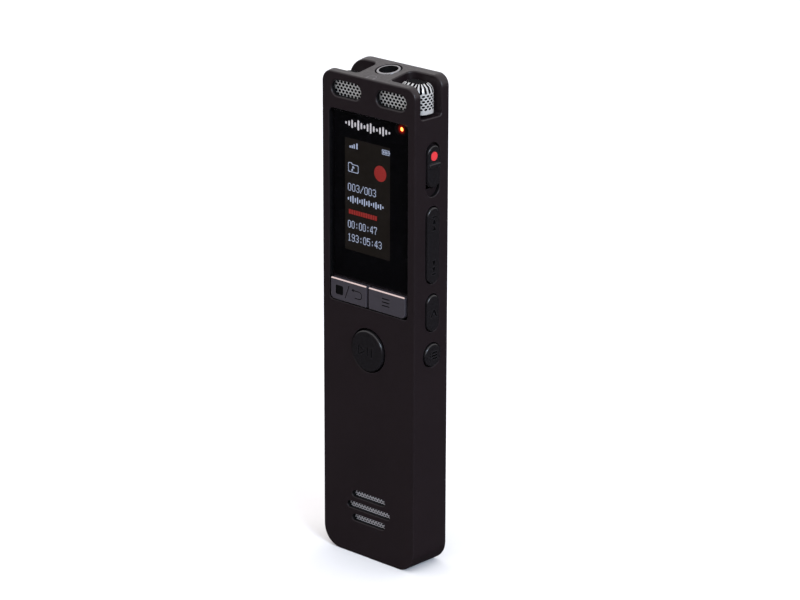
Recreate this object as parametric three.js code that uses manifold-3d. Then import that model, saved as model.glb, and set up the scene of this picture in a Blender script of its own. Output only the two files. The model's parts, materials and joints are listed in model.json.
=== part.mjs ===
// Handheld voice recorder: a slim two-shell body with side controls, a display, two keys,
// a round play button, a loudspeaker at the foot and two microphone bays in the head.
// Millimetres. +Z runs along the length, -Y is the front, +X is the side with the controls.
// The origin is the centre of the foot.

import * as THREE from 'three';
import { mergeVertices } from 'three/addons/utils/BufferGeometryUtils.js';
import Module from 'manifold-3d';

const wasm = await Module();
wasm.setup();

// ---- Driving dimensions ----

const height = 98; // at the back
const frontHeight = 96.5; // the top slopes down to the front
const width = 24;
const thickness = 9.3;
const topCornerRadius = 2.3;
const backLeftCornerRadius = 4.6; // the plate behind the left bay has a rounder corner
const footCornerRadius = 4.2;
const edgeRound = 0.25;

const frontY = -thickness / 2;
const backY = thickness / 2;
const sideX = width / 2;
const topSlope = (height - frontHeight) / thickness;

const sideWall = 1.2;
const frontWall = 2;
const fit = 0.3; // clearance round a piece that sits in another
const seat = 0.1; // clearance under a piece that rests on another
const cutPast = 2; // how far a cutter runs past the face it opens

const innerX = sideX - sideWall;
const innerFrontY = frontY + frontWall;
const cavityFoot = 1.2;
const cavityTop = 88.9;
const cavityFootRadius = footCornerRadius - sideWall;

const coverThickness = 1.3;
const coverInnerY = backY - coverThickness;
const coverRim = 0.7; // width of the housing's rim round the back cover
const coverTop = 89;
const coverFoot = 1.5;

// Head: a front plate and a back plate joined by a central column, with a bay on each side.
const bayFloor = 90.4;
const bayFrontY = -3.05;
const bayBackY = 2.65;
const columnHalfWidth = 4.2;
const bayFillet = 1.5;
const bayFloorFillet = 1;

const micWindow = { x: 5.8, z: 93.35, length: 7.7, height: 3.1 };
const grilleSlot = { near: 1.4, far: 10.3, bottom: 90.8, top: 95.6, frontY: -3.65, backY: -3 };
const grilleThickness = 0.3;

const jack = { y: 0.95, bore: 3.6, bushing: 4.6, bodyWidth: 5.8, bodyDepth: 4.3, bottom: 82.1 };
const jackShoulder = 94.4; // where the square body ends and the round bushing starts
const columnRoof = 95.1;

// Display and keys share one shallow recess in the front.
const recess = { halfWidth: 10.2, bottom: 51.3, top: 89.4, radius: 0.9, depth: 1.2 };
const recessFloorY = frontY + recess.depth;
const glass = { halfWidth: 9.95, bottom: 56.15, top: 89.15, radius: 0.7, sunk: 0.25, thickness: 0.65 };
const module = { x: -1.55, width: 13.5, bottom: 58.7, top: 84.4, thickness: 1.6 };
const moduleFrontY = recessFloorY - 0.05;
const lightPipe = { x: 7.7, z: 88.1, radius: 0.45 };

const key = { inner: 0.3, outer: 9.7, bottom: 51.6, top: 55.85, proud: 0.25, stemX: 5, stemZ: 53.7 };
const play = { z: 43, hole: 8.84, cap: 8.2, proud: 0.5 };
const speakerSlots = [
  { z: 12.6, length: 8.76 },
  { z: 10.12, length: 11.36 },
  { z: 7.64, length: 8.76 },
];
const speakerSlotHeight = 1.4;

// Side controls, all on one centre line.
const sideY = 0.25;
const sideOpeningWidth = 3.8;
const sideFit = 0.2;
const capProud = 0.4; // how far each side control stands out of the side
const slider = { bottom: 76.9, top: 85.05, neckBottom: 78.45, neckTop: 84.4, halfNeck: 1 };
const sliderPlateTop = 86.5; // high enough to close the slot when the slider is down
const track = { bottom: 75.05, top: 85.65, depth: 0.8, slotBottom: 76.55, slotTop: 84.7 };
const rocker = { z: 65.6, opening: 15.3 };
const sideButton = { z: 52.2, opening: 7.6 };
const listButton = { z: 43.8, opening: 4.9 };
const flangeOuterX = innerX - fit;
const flangeInnerX = flangeOuterX - 0.35;
const flangeWidth = 4.5;

// Inside.
const board = { halfWidth: 9.8, bottom: 1.6, top: 88.6, frontY: -0.9, backY: -0.1, radius: 3.2 };
const plungerFrontY = -1.7;
const stemEndY = plungerFrontY - fit;
const sideSwitchX = 9.7;
const plungerReach = 0.2;
const screwPoints = [
  [8.3, 86.1],
  [-8.3, 86.1],
  [9.3, 17.5],
  [-9.3, 17.5],
];
const bossRadius = 1.35;
const usb = { y: 1.6, width: 8.94, height: 3.16, bottom: 0.35, top: 7.6, wall: 0.3 };

// ---- Geometry helpers ----

// A closed geometry as a solid that can be joined and cut.
function solid(geometry) {
  const bare = geometry.clone();
  bare.deleteAttribute('normal');
  bare.deleteAttribute('uv');
  const merged = mergeVertices(bare, 1e-4);
  return new wasm.Manifold(new wasm.Mesh({
    numProp: 3,
    vertProperties: new Float32Array(merged.attributes.position.array),
    triVerts: new Uint32Array(merged.index.array),
  }));
}

function geometryOf(body) {
  const mesh = body.getMesh();
  const geometry = new THREE.BufferGeometry();
  geometry.setAttribute('position', new THREE.BufferAttribute(new Float32Array(mesh.vertProperties), 3));
  geometry.setIndex(new THREE.BufferAttribute(new Uint32Array(mesh.triVerts), 1));
  const faceted = geometry.toNonIndexed();
  faceted.computeVertexNormals();
  return faceted;
}

function roundedRectangle(left, right, bottom, top, lowRadius, highRadius = lowRadius) {
  const shape = new THREE.Shape();
  const quarter = Math.PI / 2;
  shape.absarc(right - lowRadius, bottom + lowRadius, lowRadius, -quarter, 0);
  shape.absarc(right - highRadius, top - highRadius, highRadius, 0, quarter);
  shape.absarc(left + highRadius, top - highRadius, highRadius, quarter, 2 * quarter);
  shape.absarc(left + lowRadius, bottom + lowRadius, lowRadius, 2 * quarter, 3 * quarter);
  return shape;
}

function rectangle(left, right, bottom, top) {
  const shape = new THREE.Shape();
  shape.moveTo(left, bottom);
  shape.lineTo(right, bottom);
  shape.lineTo(right, top);
  shape.lineTo(left, top);
  return shape;
}

function circle(x, y, radius) {
  const shape = new THREE.Shape();
  shape.absarc(x, y, radius, 0, 2 * Math.PI);
  return shape;
}

// A slot with round ends, centred on x, y; it runs along the first or the second axis.
function stadium(x, y, length, breadth, alongFirst) {
  const radius = breadth / 2;
  const reach = length / 2 - radius;
  const shape = new THREE.Shape();
  const quarter = Math.PI / 2;
  if (alongFirst) {
    shape.absarc(x + reach, y, radius, -quarter, quarter);
    shape.absarc(x - reach, y, radius, quarter, 3 * quarter);
  } else {
    shape.absarc(x, y + reach, radius, 0, 2 * quarter);
    shape.absarc(x, y - reach, radius, 2 * quarter, 4 * quarter);
  }
  return shape;
}

// An outline drawn flat and pulled up by depth, with its outer edges rounded by bevel.
function extrude(shape, depth, { bevel = 0, bevelSteps = 2, arcSteps = 3 } = {}) {
  const geometry = new THREE.ExtrudeGeometry(shape, {
    depth: depth - 2 * bevel,
    curveSegments: arcSteps,
    bevelEnabled: bevel > 0,
    bevelThickness: bevel,
    bevelSize: bevel,
    bevelOffset: -bevel,
    bevelSegments: bevelSteps,
  });
  return geometry.translate(0, 0, bevel);
}

// Lowers the head of a piece towards the front, to follow the sloping top.
function slopeTop(geometry) {
  const points = geometry.attributes.position;
  for (let i = 0; i < points.count; i += 1) {
    const z = points.getZ(i);
    if (z > height / 2) points.setZ(i, z + (points.getY(i) - backY) * topSlope);
  }
  return geometry;
}

// Outline in X and Z, pulled along Y.
function pullAlongY(shape, startY, endY, options) {
  return extrude(shape, endY - startY, options).rotateX(Math.PI / 2).translate(0, endY, 0);
}

function alongY(shape, startY, endY, options) {
  return solid(pullAlongY(shape, startY, endY, options));
}

// Outline in Y and Z, pulled along X.
function alongX(shape, oneX, otherX, options) {
  const startX = Math.min(oneX, otherX);
  const turn = new THREE.Matrix4().makeBasis(
    new THREE.Vector3(0, 1, 0),
    new THREE.Vector3(0, 0, 1),
    new THREE.Vector3(1, 0, 0),
  );
  const geometry = extrude(shape, Math.abs(otherX - oneX), options).applyMatrix4(turn);
  return solid(geometry.translate(startX, 0, 0));
}

// Outline in X and Y, pulled along Z.
function alongZ(shape, startZ, endZ, options) {
  return solid(extrude(shape, endZ - startZ, options).translate(0, 0, startZ));
}

function box(oneX, otherX, startY, endY, startZ, endZ) {
  const left = Math.min(oneX, otherX);
  const right = Math.max(oneX, otherX);
  return alongZ(rectangle(left, right, startY, endY), startZ, endZ);
}

// ---- Materials ----

function finish(color, roughness, metalness = 0) {
  return new THREE.MeshStandardMaterial({ color, roughness, metalness });
}

const shellFinish = finish(0x2c282d, 0.5, 0.35);
const glassFinish = finish(0x08080a, 0.08);
const keyFinish = finish(0x3d393f, 0.4, 0.4);
const controlFinish = finish(0x2b292d, 0.45, 0.3);
const meshFinish = finish(0xb9b9b6, 0.35, 0.9);
const redFinish = finish(0xc92b32, 0.45);
const blackPlastic = finish(0x17171a, 0.6);
const rubberFinish = finish(0x1c1c1d, 0.85);
const boardFinish = finish(0x14402c, 0.6);
const metalFinish = finish(0xa9a9a8, 0.35, 0.95);
const chipFinish = finish(0x1a1b1d, 0.5);
const cellFinish = finish(0x9ea3a8, 0.45, 0.6);
const paleFinish = finish(0xd9d2c2, 0.7);

const recorder = new THREE.Group();

function add(name, body, material) {
  const mesh = new THREE.Mesh(geometryOf(body), material);
  mesh.name = name;
  recorder.add(mesh);
}

// ---- Housing ----

// The space of one microphone bay, open to the top and to the side.
function bay(side) {
  const quarter = Math.PI / 2;
  const past = height + cutPast;
  const profile = new THREE.Shape();
  profile.moveTo(bayFrontY, bayFloor);
  profile.lineTo(bayBackY - bayFloorFillet, bayFloor);
  profile.absarc(bayBackY - bayFloorFillet, bayFloor + bayFloorFillet, bayFloorFillet, -quarter, 0);
  profile.lineTo(bayBackY, past);
  profile.lineTo(bayFrontY, past);
  const across = alongX(profile, side * columnHalfWidth, side * (sideX + cutPast), { arcSteps: 5 });

  const far = side * (sideX + 4 * cutPast);
  const plan = new THREE.Shape();
  plan.moveTo(side * columnHalfWidth, bayFrontY);
  plan.lineTo(far, bayFrontY);
  plan.lineTo(far, bayBackY);
  const turnX = side * (columnHalfWidth + bayFillet);
  const turnEnd = side > 0 ? 2 * quarter : 0;
  plan.absarc(turnX, bayBackY - bayFillet, bayFillet, quarter, turnEnd, side < 0);
  return across.intersect(alongZ(plan, bayFloor - cutPast, past + cutPast, { arcSteps: 5 }));
}

function boss([x, z]) {
  const post = alongY(circle(x, z, bossRadius), innerFrontY - seat, coverInnerY - seat, { arcSteps: 8 });
  return post.subtract(alongY(circle(x, z, 0.8), 0.5, coverInnerY + cutPast, { arcSteps: 6 }));
}

function sideOpening(z, length) {
  const outline = stadium(sideY, z, length, sideOpeningWidth, false);
  return alongX(outline, innerX - seat, sideX + cutPast, { arcSteps: 5 });
}

// What is cut off the plate behind the left bay, to round its corner further.
function backLeftCorner() {
  const turnX = -sideX + backLeftCornerRadius;
  const turnZ = height - backLeftCornerRadius;
  const corner = new THREE.Shape();
  corner.moveTo(-sideX - cutPast, turnZ);
  corner.lineTo(-sideX, turnZ);
  corner.absarc(turnX, turnZ, backLeftCornerRadius, Math.PI, Math.PI / 2, true);
  corner.lineTo(turnX, height + cutPast);
  corner.lineTo(-sideX - cutPast, height + cutPast);
  const middleOfBay = (bayFrontY + bayBackY) / 2;
  return solid(slopeTop(pullAlongY(corner, middleOfBay, backY + cutPast, { arcSteps: 10 })));
}

function buildHousing() {
  const outline = roundedRectangle(-sideX, sideX, 0, height, footCornerRadius, topCornerRadius);
  const edges = { bevel: edgeRound, bevelSteps: 3, arcSteps: 5 };
  let body = solid(slopeTop(pullAlongY(outline, frontY, backY, edges)));
  body = body.subtract(backLeftCorner());

  const cavity = roundedRectangle(-innerX, innerX, cavityFoot, cavityTop, cavityFootRadius, 1);
  const coverSeat = roundedRectangle(
    -sideX + coverRim,
    sideX - coverRim,
    coverFoot - fit,
    coverTop + fit,
    footCornerRadius - coverRim,
    1.5,
  );
  body = body.subtract(alongY(cavity, innerFrontY, backY + cutPast));
  body = body.subtract(alongY(coverSeat, coverInnerY - seat, backY + cutPast));
  for (const point of screwPoints) body = body.add(boss(point));

  for (const side of [-1, 1]) {
    body = body.subtract(bay(side));
    const opening = stadium(side * micWindow.x, micWindow.z, micWindow.length, micWindow.height, true);
    body = body.subtract(alongY(opening, frontY - cutPast, grilleSlot.frontY + seat, { arcSteps: 5 }));
    body = body.subtract(box(
      side * grilleSlot.near,
      side * grilleSlot.far,
      grilleSlot.frontY,
      grilleSlot.backY,
      grilleSlot.bottom,
      grilleSlot.top,
    ));
  }

  // The column is hollow for the headphone jack, and its roof holds the jack's bushing.
  const jackRoom = fit + 0.1;
  body = body.subtract(box(
    -jack.bodyWidth / 2 - jackRoom,
    jack.bodyWidth / 2 + jackRoom,
    jack.y - jack.bodyDepth / 2 - jackRoom,
    jack.y + jack.bodyDepth / 2 + fit,
    cavityTop - cutPast,
    columnRoof,
  ));
  const bushingHole = circle(0, jack.y, jack.bushing / 2 + fit);
  body = body.subtract(alongZ(bushingHole, columnRoof - seat, height + cutPast, { arcSteps: 12 }));

  // Display recess, with holes in its floor for the display, the keys' stems and the light.
  const recessOutline = roundedRectangle(
    -recess.halfWidth,
    recess.halfWidth,
    recess.bottom,
    recess.top,
    recess.radius,
  );
  body = body.subtract(alongY(recessOutline, frontY - cutPast, recessFloorY));
  const moduleHole = rectangle(
    module.x - module.width / 2 - fit,
    module.x + module.width / 2 + fit,
    module.bottom - fit,
    module.top + fit,
  );
  const floorCuts = [moduleHole, circle(lightPipe.x, lightPipe.z, lightPipe.radius + fit)];
  for (const side of [-1, 1]) {
    const x = side * key.stemX;
    floorCuts.push(rectangle(x - 2.1, x + 2.1, key.stemZ - 1.3, key.stemZ + 1.3));
  }
  for (const shape of floorCuts) {
    body = body.subtract(alongY(shape, recessFloorY - seat, innerFrontY + seat, { arcSteps: 6 }));
  }

  const playHole = circle(0, play.z, play.hole / 2);
  body = body.subtract(alongY(playHole, frontY - cutPast, innerFrontY + seat, { arcSteps: 16 }));
  for (const slot of speakerSlots) {
    const shape = stadium(0, slot.z, slot.length, speakerSlotHeight, true);
    body = body.subtract(alongY(shape, frontY - cutPast, innerFrontY));
  }
  body = body.subtract(box(-7.6, 7.6, frontY + 0.9, innerFrontY + seat, 4.5, 15.7));

  // The slider runs in a shallow track, with a narrower slot through its floor.
  const trackLength = track.top - track.bottom;
  const trackOutline = stadium(sideY, track.bottom + trackLength / 2, trackLength, sideOpeningWidth, false);
  body = body.subtract(alongX(trackOutline, sideX - track.depth, sideX + cutPast, { arcSteps: 5 }));
  const slotReach = slider.halfNeck + fit;
  const slotOutline = rectangle(sideY - slotReach, sideY + slotReach, track.slotBottom, track.slotTop);
  body = body.subtract(alongX(slotOutline, innerX - seat, sideX));
  body = body.subtract(sideOpening(rocker.z, rocker.opening));
  body = body.subtract(sideOpening(sideButton.z, sideButton.opening));
  const roundOpening = circle(sideY, listButton.z, listButton.opening / 2);
  body = body.subtract(alongX(roundOpening, innerX - seat, sideX + cutPast, { arcSteps: 10 }));

  const usbHole = stadium(0, usb.y, usb.width + 2 * fit, usb.height + 2 * fit, true);
  return body.subtract(alongZ(usbHole, -cutPast, cavityFoot + seat));
}

add('housing', buildHousing(), shellFinish);

function buildBackCover() {
  const outline = roundedRectangle(
    -sideX + coverRim + fit,
    sideX - coverRim - fit,
    coverFoot,
    coverTop,
    footCornerRadius - coverRim - fit,
    1.2,
  );
  let body = alongY(outline, coverInnerY, backY, { bevel: 0.15, bevelSteps: 1 });
  for (const [x, z] of screwPoints) {
    body = body.subtract(alongY(circle(x, z, 0.8), coverInnerY - cutPast, backY, { arcSteps: 6 }));
    body = body.subtract(alongY(circle(x, z, 1.4), backY - 0.7, backY + cutPast, { arcSteps: 8 }));
  }
  return body;
}

add('back_cover', buildBackCover(), shellFinish);

screwPoints.forEach(([x, z], index) => {
  const head = alongY(circle(x, z, 1.1), backY - 0.6, backY - 0.1, { arcSteps: 8 });
  const shank = alongY(circle(x, z, 0.5), 0.9, backY - 0.4, { arcSteps: 5 });
  add(`cover_screw_${index + 1}`, head.add(shank), metalFinish);
});

// ---- Display ----

const glassOutline = roundedRectangle(
  -glass.halfWidth,
  glass.halfWidth,
  glass.bottom,
  glass.top,
  glass.radius,
);
const glassFrontY = frontY + glass.sunk;
add('display_window', alongY(glassOutline, glassFrontY, glassFrontY + glass.thickness), glassFinish);

const moduleBackY = moduleFrontY + module.thickness;
add('display_module', box(
  module.x - module.width / 2,
  module.x + module.width / 2,
  moduleFrontY,
  moduleBackY,
  module.bottom,
  module.top,
), blackPlastic);
const flex = box(module.x - 3, module.x + 3, moduleBackY + 0.1, moduleBackY + 0.3, 56.9, 69.7);
add('display_flex', flex, paleFinish);
const connector = box(module.x - 4, module.x + 4, board.frontY - 0.5, board.frontY - seat, 57.1, 58.9);
add('display_connector', connector, blackPlastic);

const pipeOutline = circle(lightPipe.x, lightPipe.z, lightPipe.radius);
const pipe = alongY(pipeOutline, recessFloorY - 0.15, -1.7, { arcSteps: 6 });
add('led_light_pipe', pipe, finish(0xff5a4a, 0.2));
add('status_led', box(
  lightPipe.x - 0.8,
  lightPipe.x + 0.8,
  board.frontY - 0.6,
  board.frontY - seat,
  lightPipe.z - 0.4,
  lightPipe.z + 0.4,
), paleFinish);

// ---- Keys and play button ----

// A cap with a stem through the recess floor and a flange that keeps it from falling out.
function buildKey(side) {
  const left = Math.min(side * key.inner, side * key.outer);
  const right = Math.max(side * key.inner, side * key.outer);
  const capOutline = roundedRectangle(left, right, key.bottom, key.top, 0.4, 0.2);
  const capEdges = { bevel: 0.15, bevelSteps: 1, arcSteps: 2 };
  const cap = alongY(capOutline, frontY - key.proud, recessFloorY - fit, capEdges);
  const x = side * key.stemX;
  const stem = box(x - 1.7, x + 1.7, recessFloorY - fit - 0.2, stemEndY, key.stemZ - 0.95, key.stemZ + 0.95);
  const flange = box(x - 2.7, x + 2.7, stemEndY - 0.35, stemEndY, key.stemZ - 1.8, key.stemZ + 1.8);
  return cap.add(stem).add(flange);
}

add('stop_key', buildKey(-1), keyFinish);
add('menu_key', buildKey(1), keyFinish);

function buildPlayButton() {
  const cap = alongY(circle(0, play.z, play.cap / 2), frontY - play.proud, innerFrontY + fit + 0.2, {
    bevel: 0.3,
    bevelSteps: 2,
    arcSteps: 16,
  });
  const flange = alongY(circle(0, play.z, play.hole / 2 + 0.4), stemEndY - 0.35, stemEndY, { arcSteps: 12 });
  return cap.add(flange);
}

add('play_button', buildPlayButton(), controlFinish);

// ---- Side controls ----

// A push button or rocker: a stadium cap and a wider flange behind the wall.
function sideCap(z, opening) {
  const capWidth = sideOpeningWidth - 2 * sideFit;
  const capOutline = stadium(sideY, z, opening - 2 * sideFit, capWidth, false);
  const cap = alongX(capOutline, flangeInnerX, sideX + capProud, { bevel: 0.2, bevelSteps: 2, arcSteps: 5 });
  const flangeOutline = stadium(sideY, z, opening + 0.7, flangeWidth, false);
  return cap.add(alongX(flangeOutline, flangeInnerX, flangeOuterX));
}

add('skip_rocker', sideCap(rocker.z, rocker.opening), controlFinish);
add('side_button', sideCap(sideButton.z, sideButton.opening), controlFinish);

const listOutline = circle(sideY, listButton.z, listButton.opening / 2 - sideFit);
const listCap = alongX(listOutline, flangeInnerX, sideX + capProud, {
  bevel: 0.2,
  bevelSteps: 2,
  arcSteps: 10,
});
const listFlangeOutline = circle(sideY, listButton.z, listButton.opening / 2 + 0.2);
const listFlange = alongX(listFlangeOutline, flangeInnerX, flangeOuterX, { arcSteps: 8 });
add('list_button', listCap.add(listFlange), controlFinish);

const dot = { z: 83, radius: 0.88, depth: 0.35 };
const ridge = { z: 81.25, height: 0.8, proud: 0.75, halfWidth: 1.6 };
const fork = { z: 80.55, gap: 1.9, jaw: 0.65, innerX: 9.7 };

// The record slider stands at the top of its track. Behind its neck, a plate keeps it in,
// and a fork on the plate holds the switch's knob.
function buildRecordSlider() {
  const length = slider.top - slider.bottom;
  const capWidth = sideOpeningWidth - 2 * sideFit;
  const capOutline = stadium(sideY, slider.bottom + length / 2, length, capWidth, false);
  const capInnerX = sideX - track.depth + 0.2;
  let body = alongX(capOutline, capInnerX, sideX + capProud, { bevel: 0.15, bevelSteps: 1, arcSteps: 5 });
  const neck = rectangle(
    sideY - slider.halfNeck,
    sideY + slider.halfNeck,
    slider.neckBottom,
    slider.neckTop,
  );
  body = body.add(alongX(neck, flangeInnerX, capInnerX + 0.1));
  const plate = rectangle(
    sideY - slider.halfNeck - 0.7,
    sideY + slider.halfNeck + 0.7,
    slider.neckBottom - 0.5,
    sliderPlateTop,
  );
  body = body.add(alongX(plate, flangeInnerX, flangeOuterX));
  const grip = roundedRectangle(
    sideY - ridge.halfWidth,
    sideY + ridge.halfWidth,
    ridge.z - ridge.height / 2,
    ridge.z + ridge.height / 2,
    0.3,
  );
  body = body.add(alongX(grip, sideX - 0.3, sideX + ridge.proud, { bevel: 0.15, bevelSteps: 1 }));
  for (const low of [fork.z - fork.gap / 2 - fork.jaw, fork.z + fork.gap / 2]) {
    body = body.add(box(fork.innerX, flangeInnerX + 0.1, 0.1, 1.4, low, low + fork.jaw));
  }
  const pocket = circle(sideY, dot.z, dot.radius + 0.15);
  const pocketX = sideX + capProud - dot.depth - seat;
  return body.subtract(alongX(pocket, pocketX, sideX + cutPast, { arcSteps: 8 }));
}

add('record_slider', buildRecordSlider(), controlFinish);
const dotOutline = circle(sideY, dot.z, dot.radius);
const dotX = sideX + capProud;
add('slider_dot', alongX(dotOutline, dotX - dot.depth, dotX, { arcSteps: 8 }), redFinish);
add('slide_switch_knob', box(9.6, 10.05, 0.3, 1.2, fork.z - 0.6, fork.z + 0.6), paleFinish);

// ---- Microphones ----

const cage = { inner: 5, outer: 11.4, frontY: -2.65, backY: 2.3, bottom: 91, top: 96.7, radius: 2.1 };
const leftCageDrop = 1.15; // the left cage is a little lower than the right one
const cageShoulder = 1.7;

function cageOutline(side, inset) {
  const one = side * (cage.inner + inset);
  const other = side * (cage.outer - inset);
  return roundedRectangle(
    Math.min(one, other),
    Math.max(one, other),
    cage.frontY + inset,
    cage.backY - inset,
    cage.radius - inset,
  );
}

// A mesh cap with a rounded shoulder, open underneath.
function buildCage(side) {
  const below = cage.bottom - 5;
  const top = side < 0 ? cage.top - leftCageDrop : cage.top;
  const outer = alongZ(cageOutline(side, 0), below, top, { bevel: cageShoulder, bevelSteps: 3 });
  const inner = alongZ(cageOutline(side, grilleThickness), below, top - grilleThickness, {
    bevel: cageShoulder - grilleThickness,
    bevelSteps: 3,
  });
  const foot = box(side * 3, side * 13, -6, 6, below - 1, cage.bottom);
  return outer.subtract(inner).subtract(foot);
}

const capsule = { z: 93.3, radius: 1.3 };
const bootRadius = 1.75;
const capsuleY = (cage.frontY + cage.backY) / 2;
for (const [side, label] of [[-1, 'left'], [1, 'right']]) {
  add(`mic_cage_${label}`, buildCage(side), meshFinish);

  // A rubber cup on a foot holds the capsule, which looks outwards.
  const cup = alongX(circle(capsuleY, capsule.z, bootRadius), side * 6.4, side * 8.4, { arcSteps: 8 });
  const cupHollow = circle(capsuleY, capsule.z, capsule.radius + seat);
  const footTop = capsule.z - bootRadius + 0.3;
  const foot = box(side * 6.5, side * 8.3, capsuleY - 1.2, capsuleY + 1.2, bayFloor + seat, footTop);
  const boot = cup.add(foot).subtract(alongX(cupHollow, side * 6.9, side * 9, { arcSteps: 8 }));
  add(`mic_boot_${label}`, boot, rubberFinish);
  const can = alongX(circle(capsuleY, capsule.z, capsule.radius), side * 7, side * 9.1, { arcSteps: 8 });
  add(`mic_capsule_${label}`, can, metalFinish);

  add(`front_grille_${label}`, box(
    side * (grilleSlot.near + fit),
    side * (grilleSlot.far - fit),
    grilleSlot.frontY + fit,
    grilleSlot.frontY + fit + grilleThickness,
    grilleSlot.bottom + seat,
    grilleSlot.top - fit,
  ), meshFinish);
}

// ---- Headphone jack ----

function buildJack() {
  const block = box(
    -jack.bodyWidth / 2,
    jack.bodyWidth / 2,
    jack.y - jack.bodyDepth / 2,
    jack.y + jack.bodyDepth / 2,
    jack.bottom,
    jackShoulder,
  );
  const ring = extrude(circle(0, jack.y, jack.bushing / 2), height - jackShoulder, { arcSteps: 12 });
  const bushing = solid(slopeTop(ring.translate(0, 0, jackShoulder)));
  const bore = alongZ(circle(0, jack.y, jack.bore / 2), jack.bottom + 1, height + cutPast, { arcSteps: 12 });
  return block.add(bushing).subtract(bore);
}

add('headphone_jack', buildJack(), blackPlastic);

// ---- Loudspeaker ----

add('speaker_mesh', box(-7.2, 7.2, frontY + 1, frontY + 1.2, 4.9, 15.3), meshFinish);
const gasket = box(-7.2, 7.2, frontY + 1.3, frontY + 2, 4.9, 15.3);
add('speaker_gasket', gasket.subtract(box(-6.2, 6.2, frontY, frontY + 3, 5.9, 14.3)), rubberFinish);
const speakerFront = frontY + 2.1;
const speakerFrame = box(-7.2, 7.2, speakerFront, board.frontY - seat, 4.9, 15.3);
const speakerPanel = roundedRectangle(-5.8, 5.8, 6.3, 13.9, 2);
const speakerDish = alongY(speakerPanel, speakerFront - 1, speakerFront + 0.3);
add('speaker', speakerFrame.subtract(speakerDish), blackPlastic);

// ---- Circuit board and what it carries ----

function buildBoard() {
  const side = board.halfWidth;
  const outline = roundedRectangle(-side, side, board.bottom, board.top, board.radius, 0.5);
  let body = alongY(outline, board.frontY, board.backY);
  for (const [x, z] of screwPoints) {
    body = body.subtract(alongY(circle(x, z, bossRadius + fit), -3, 3, { arcSteps: 8 }));
  }
  const notch = jack.bodyWidth / 2 + fit;
  return body.subtract(box(-notch, notch, -3, 3, jack.bottom - fit, board.top + cutPast));
}

add('main_board', buildBoard(), boardFinish);

// A dome switch on the front of the board, under a key.
function frontSwitch(x, z) {
  const base = box(x - 1.7, x + 1.7, board.frontY - 0.5, board.frontY - seat, z - 1.7, z + 1.7);
  return base.add(alongY(circle(x, z, 0.8), plungerFrontY, board.frontY - 0.4, { arcSteps: 5 }));
}

add('stop_key_switch', frontSwitch(-key.stemX, key.stemZ), metalFinish);
add('menu_key_switch', frontSwitch(key.stemX, key.stemZ), metalFinish);
add('play_switch', frontSwitch(0, play.z), metalFinish);

// A right-angle switch on the back of the board, behind a side button.
function edgeSwitch(z) {
  const base = box(sideSwitchX - 1.2, sideSwitchX, board.backY + seat, 1.5, z - 1.5, z + 1.5);
  return base.add(box(sideSwitchX - 0.2, sideSwitchX + plungerReach, 0.2, 1.2, z - 0.7, z + 0.7));
}

const rockerSwitchReach = 5.2;
add('skip_forward_switch', edgeSwitch(rocker.z + rockerSwitchReach), metalFinish);
add('skip_back_switch', edgeSwitch(rocker.z - rockerSwitchReach), metalFinish);
add('side_button_switch', edgeSwitch(sideButton.z), metalFinish);
add('list_button_switch', edgeSwitch(listButton.z), metalFinish);
add('slide_switch', box(7.9, 9.5, board.backY + seat, 1.5, 76.8, 84.2), metalFinish);

add('battery', alongY(roundedRectangle(-9.4, 7.4, 24, 74, 0.6), 0.75, 3.1, { arcSteps: 2 }), cellFinish);
add('battery_pad', box(-7, 5, board.backY + seat, 0.65, 30, 68), rubberFinish);
add('battery_connector', box(-9, -5.6, board.backY + seat, 1.3, 20.2, 22.6), paleFinish);
add('processor', box(-8.4, -1.6, board.backY + seat, 0.9, 75, 81.4), chipFinish);
add('flash_memory', box(0.2, 6.4, board.backY + seat, 1, 75.6, 81.2), chipFinish);
add('audio_codec', box(-8.4, -4.4, board.backY + seat, 0.8, 81.9, 84.2), chipFinish);

// USB socket: a thin metal tube closed at its far end, with a contact tongue inside.
function buildUsb() {
  const outer = alongZ(stadium(0, usb.y, usb.width, usb.height, true), usb.bottom, usb.top);
  const hollow = stadium(0, usb.y, usb.width - 2 * usb.wall, usb.height - 2 * usb.wall, true);
  const tube = outer.subtract(alongZ(hollow, usb.bottom - cutPast, usb.top - 0.6));
  return tube.add(box(-3.3, 3.3, usb.y - 0.35, usb.y + 0.35, usb.bottom + 0.8, usb.top - 0.3));
}

add('usb_port', buildUsb(), metalFinish);

export default recorder;
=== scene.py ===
"""A slim handheld voice recorder, stood on its foot on a pale floor in soft studio light.

Lengths are in millimetres until a mesh is made, and metres from there on. X is across the
front, Y runs from the front (-) to the back (+), Z runs up to the microphones.
"""

import json
import math

import bmesh
import bpy
from mathutils import Matrix, Vector


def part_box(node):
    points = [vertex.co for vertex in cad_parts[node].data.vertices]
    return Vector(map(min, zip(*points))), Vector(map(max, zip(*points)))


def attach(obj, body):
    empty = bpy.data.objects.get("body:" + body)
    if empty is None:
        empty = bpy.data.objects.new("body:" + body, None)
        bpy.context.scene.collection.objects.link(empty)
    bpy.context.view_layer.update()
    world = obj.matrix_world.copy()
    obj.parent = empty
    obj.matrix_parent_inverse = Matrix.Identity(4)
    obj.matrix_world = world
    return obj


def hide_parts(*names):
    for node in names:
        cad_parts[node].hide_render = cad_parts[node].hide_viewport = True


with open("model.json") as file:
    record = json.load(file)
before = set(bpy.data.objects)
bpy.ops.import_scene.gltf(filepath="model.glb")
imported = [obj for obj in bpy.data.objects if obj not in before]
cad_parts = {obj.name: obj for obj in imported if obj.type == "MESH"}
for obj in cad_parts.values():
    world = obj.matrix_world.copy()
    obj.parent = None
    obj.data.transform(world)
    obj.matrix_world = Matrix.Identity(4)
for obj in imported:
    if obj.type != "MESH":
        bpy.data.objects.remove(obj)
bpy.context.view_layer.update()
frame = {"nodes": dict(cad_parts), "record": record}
MM = 0.001
BODY = "recorder"


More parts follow.
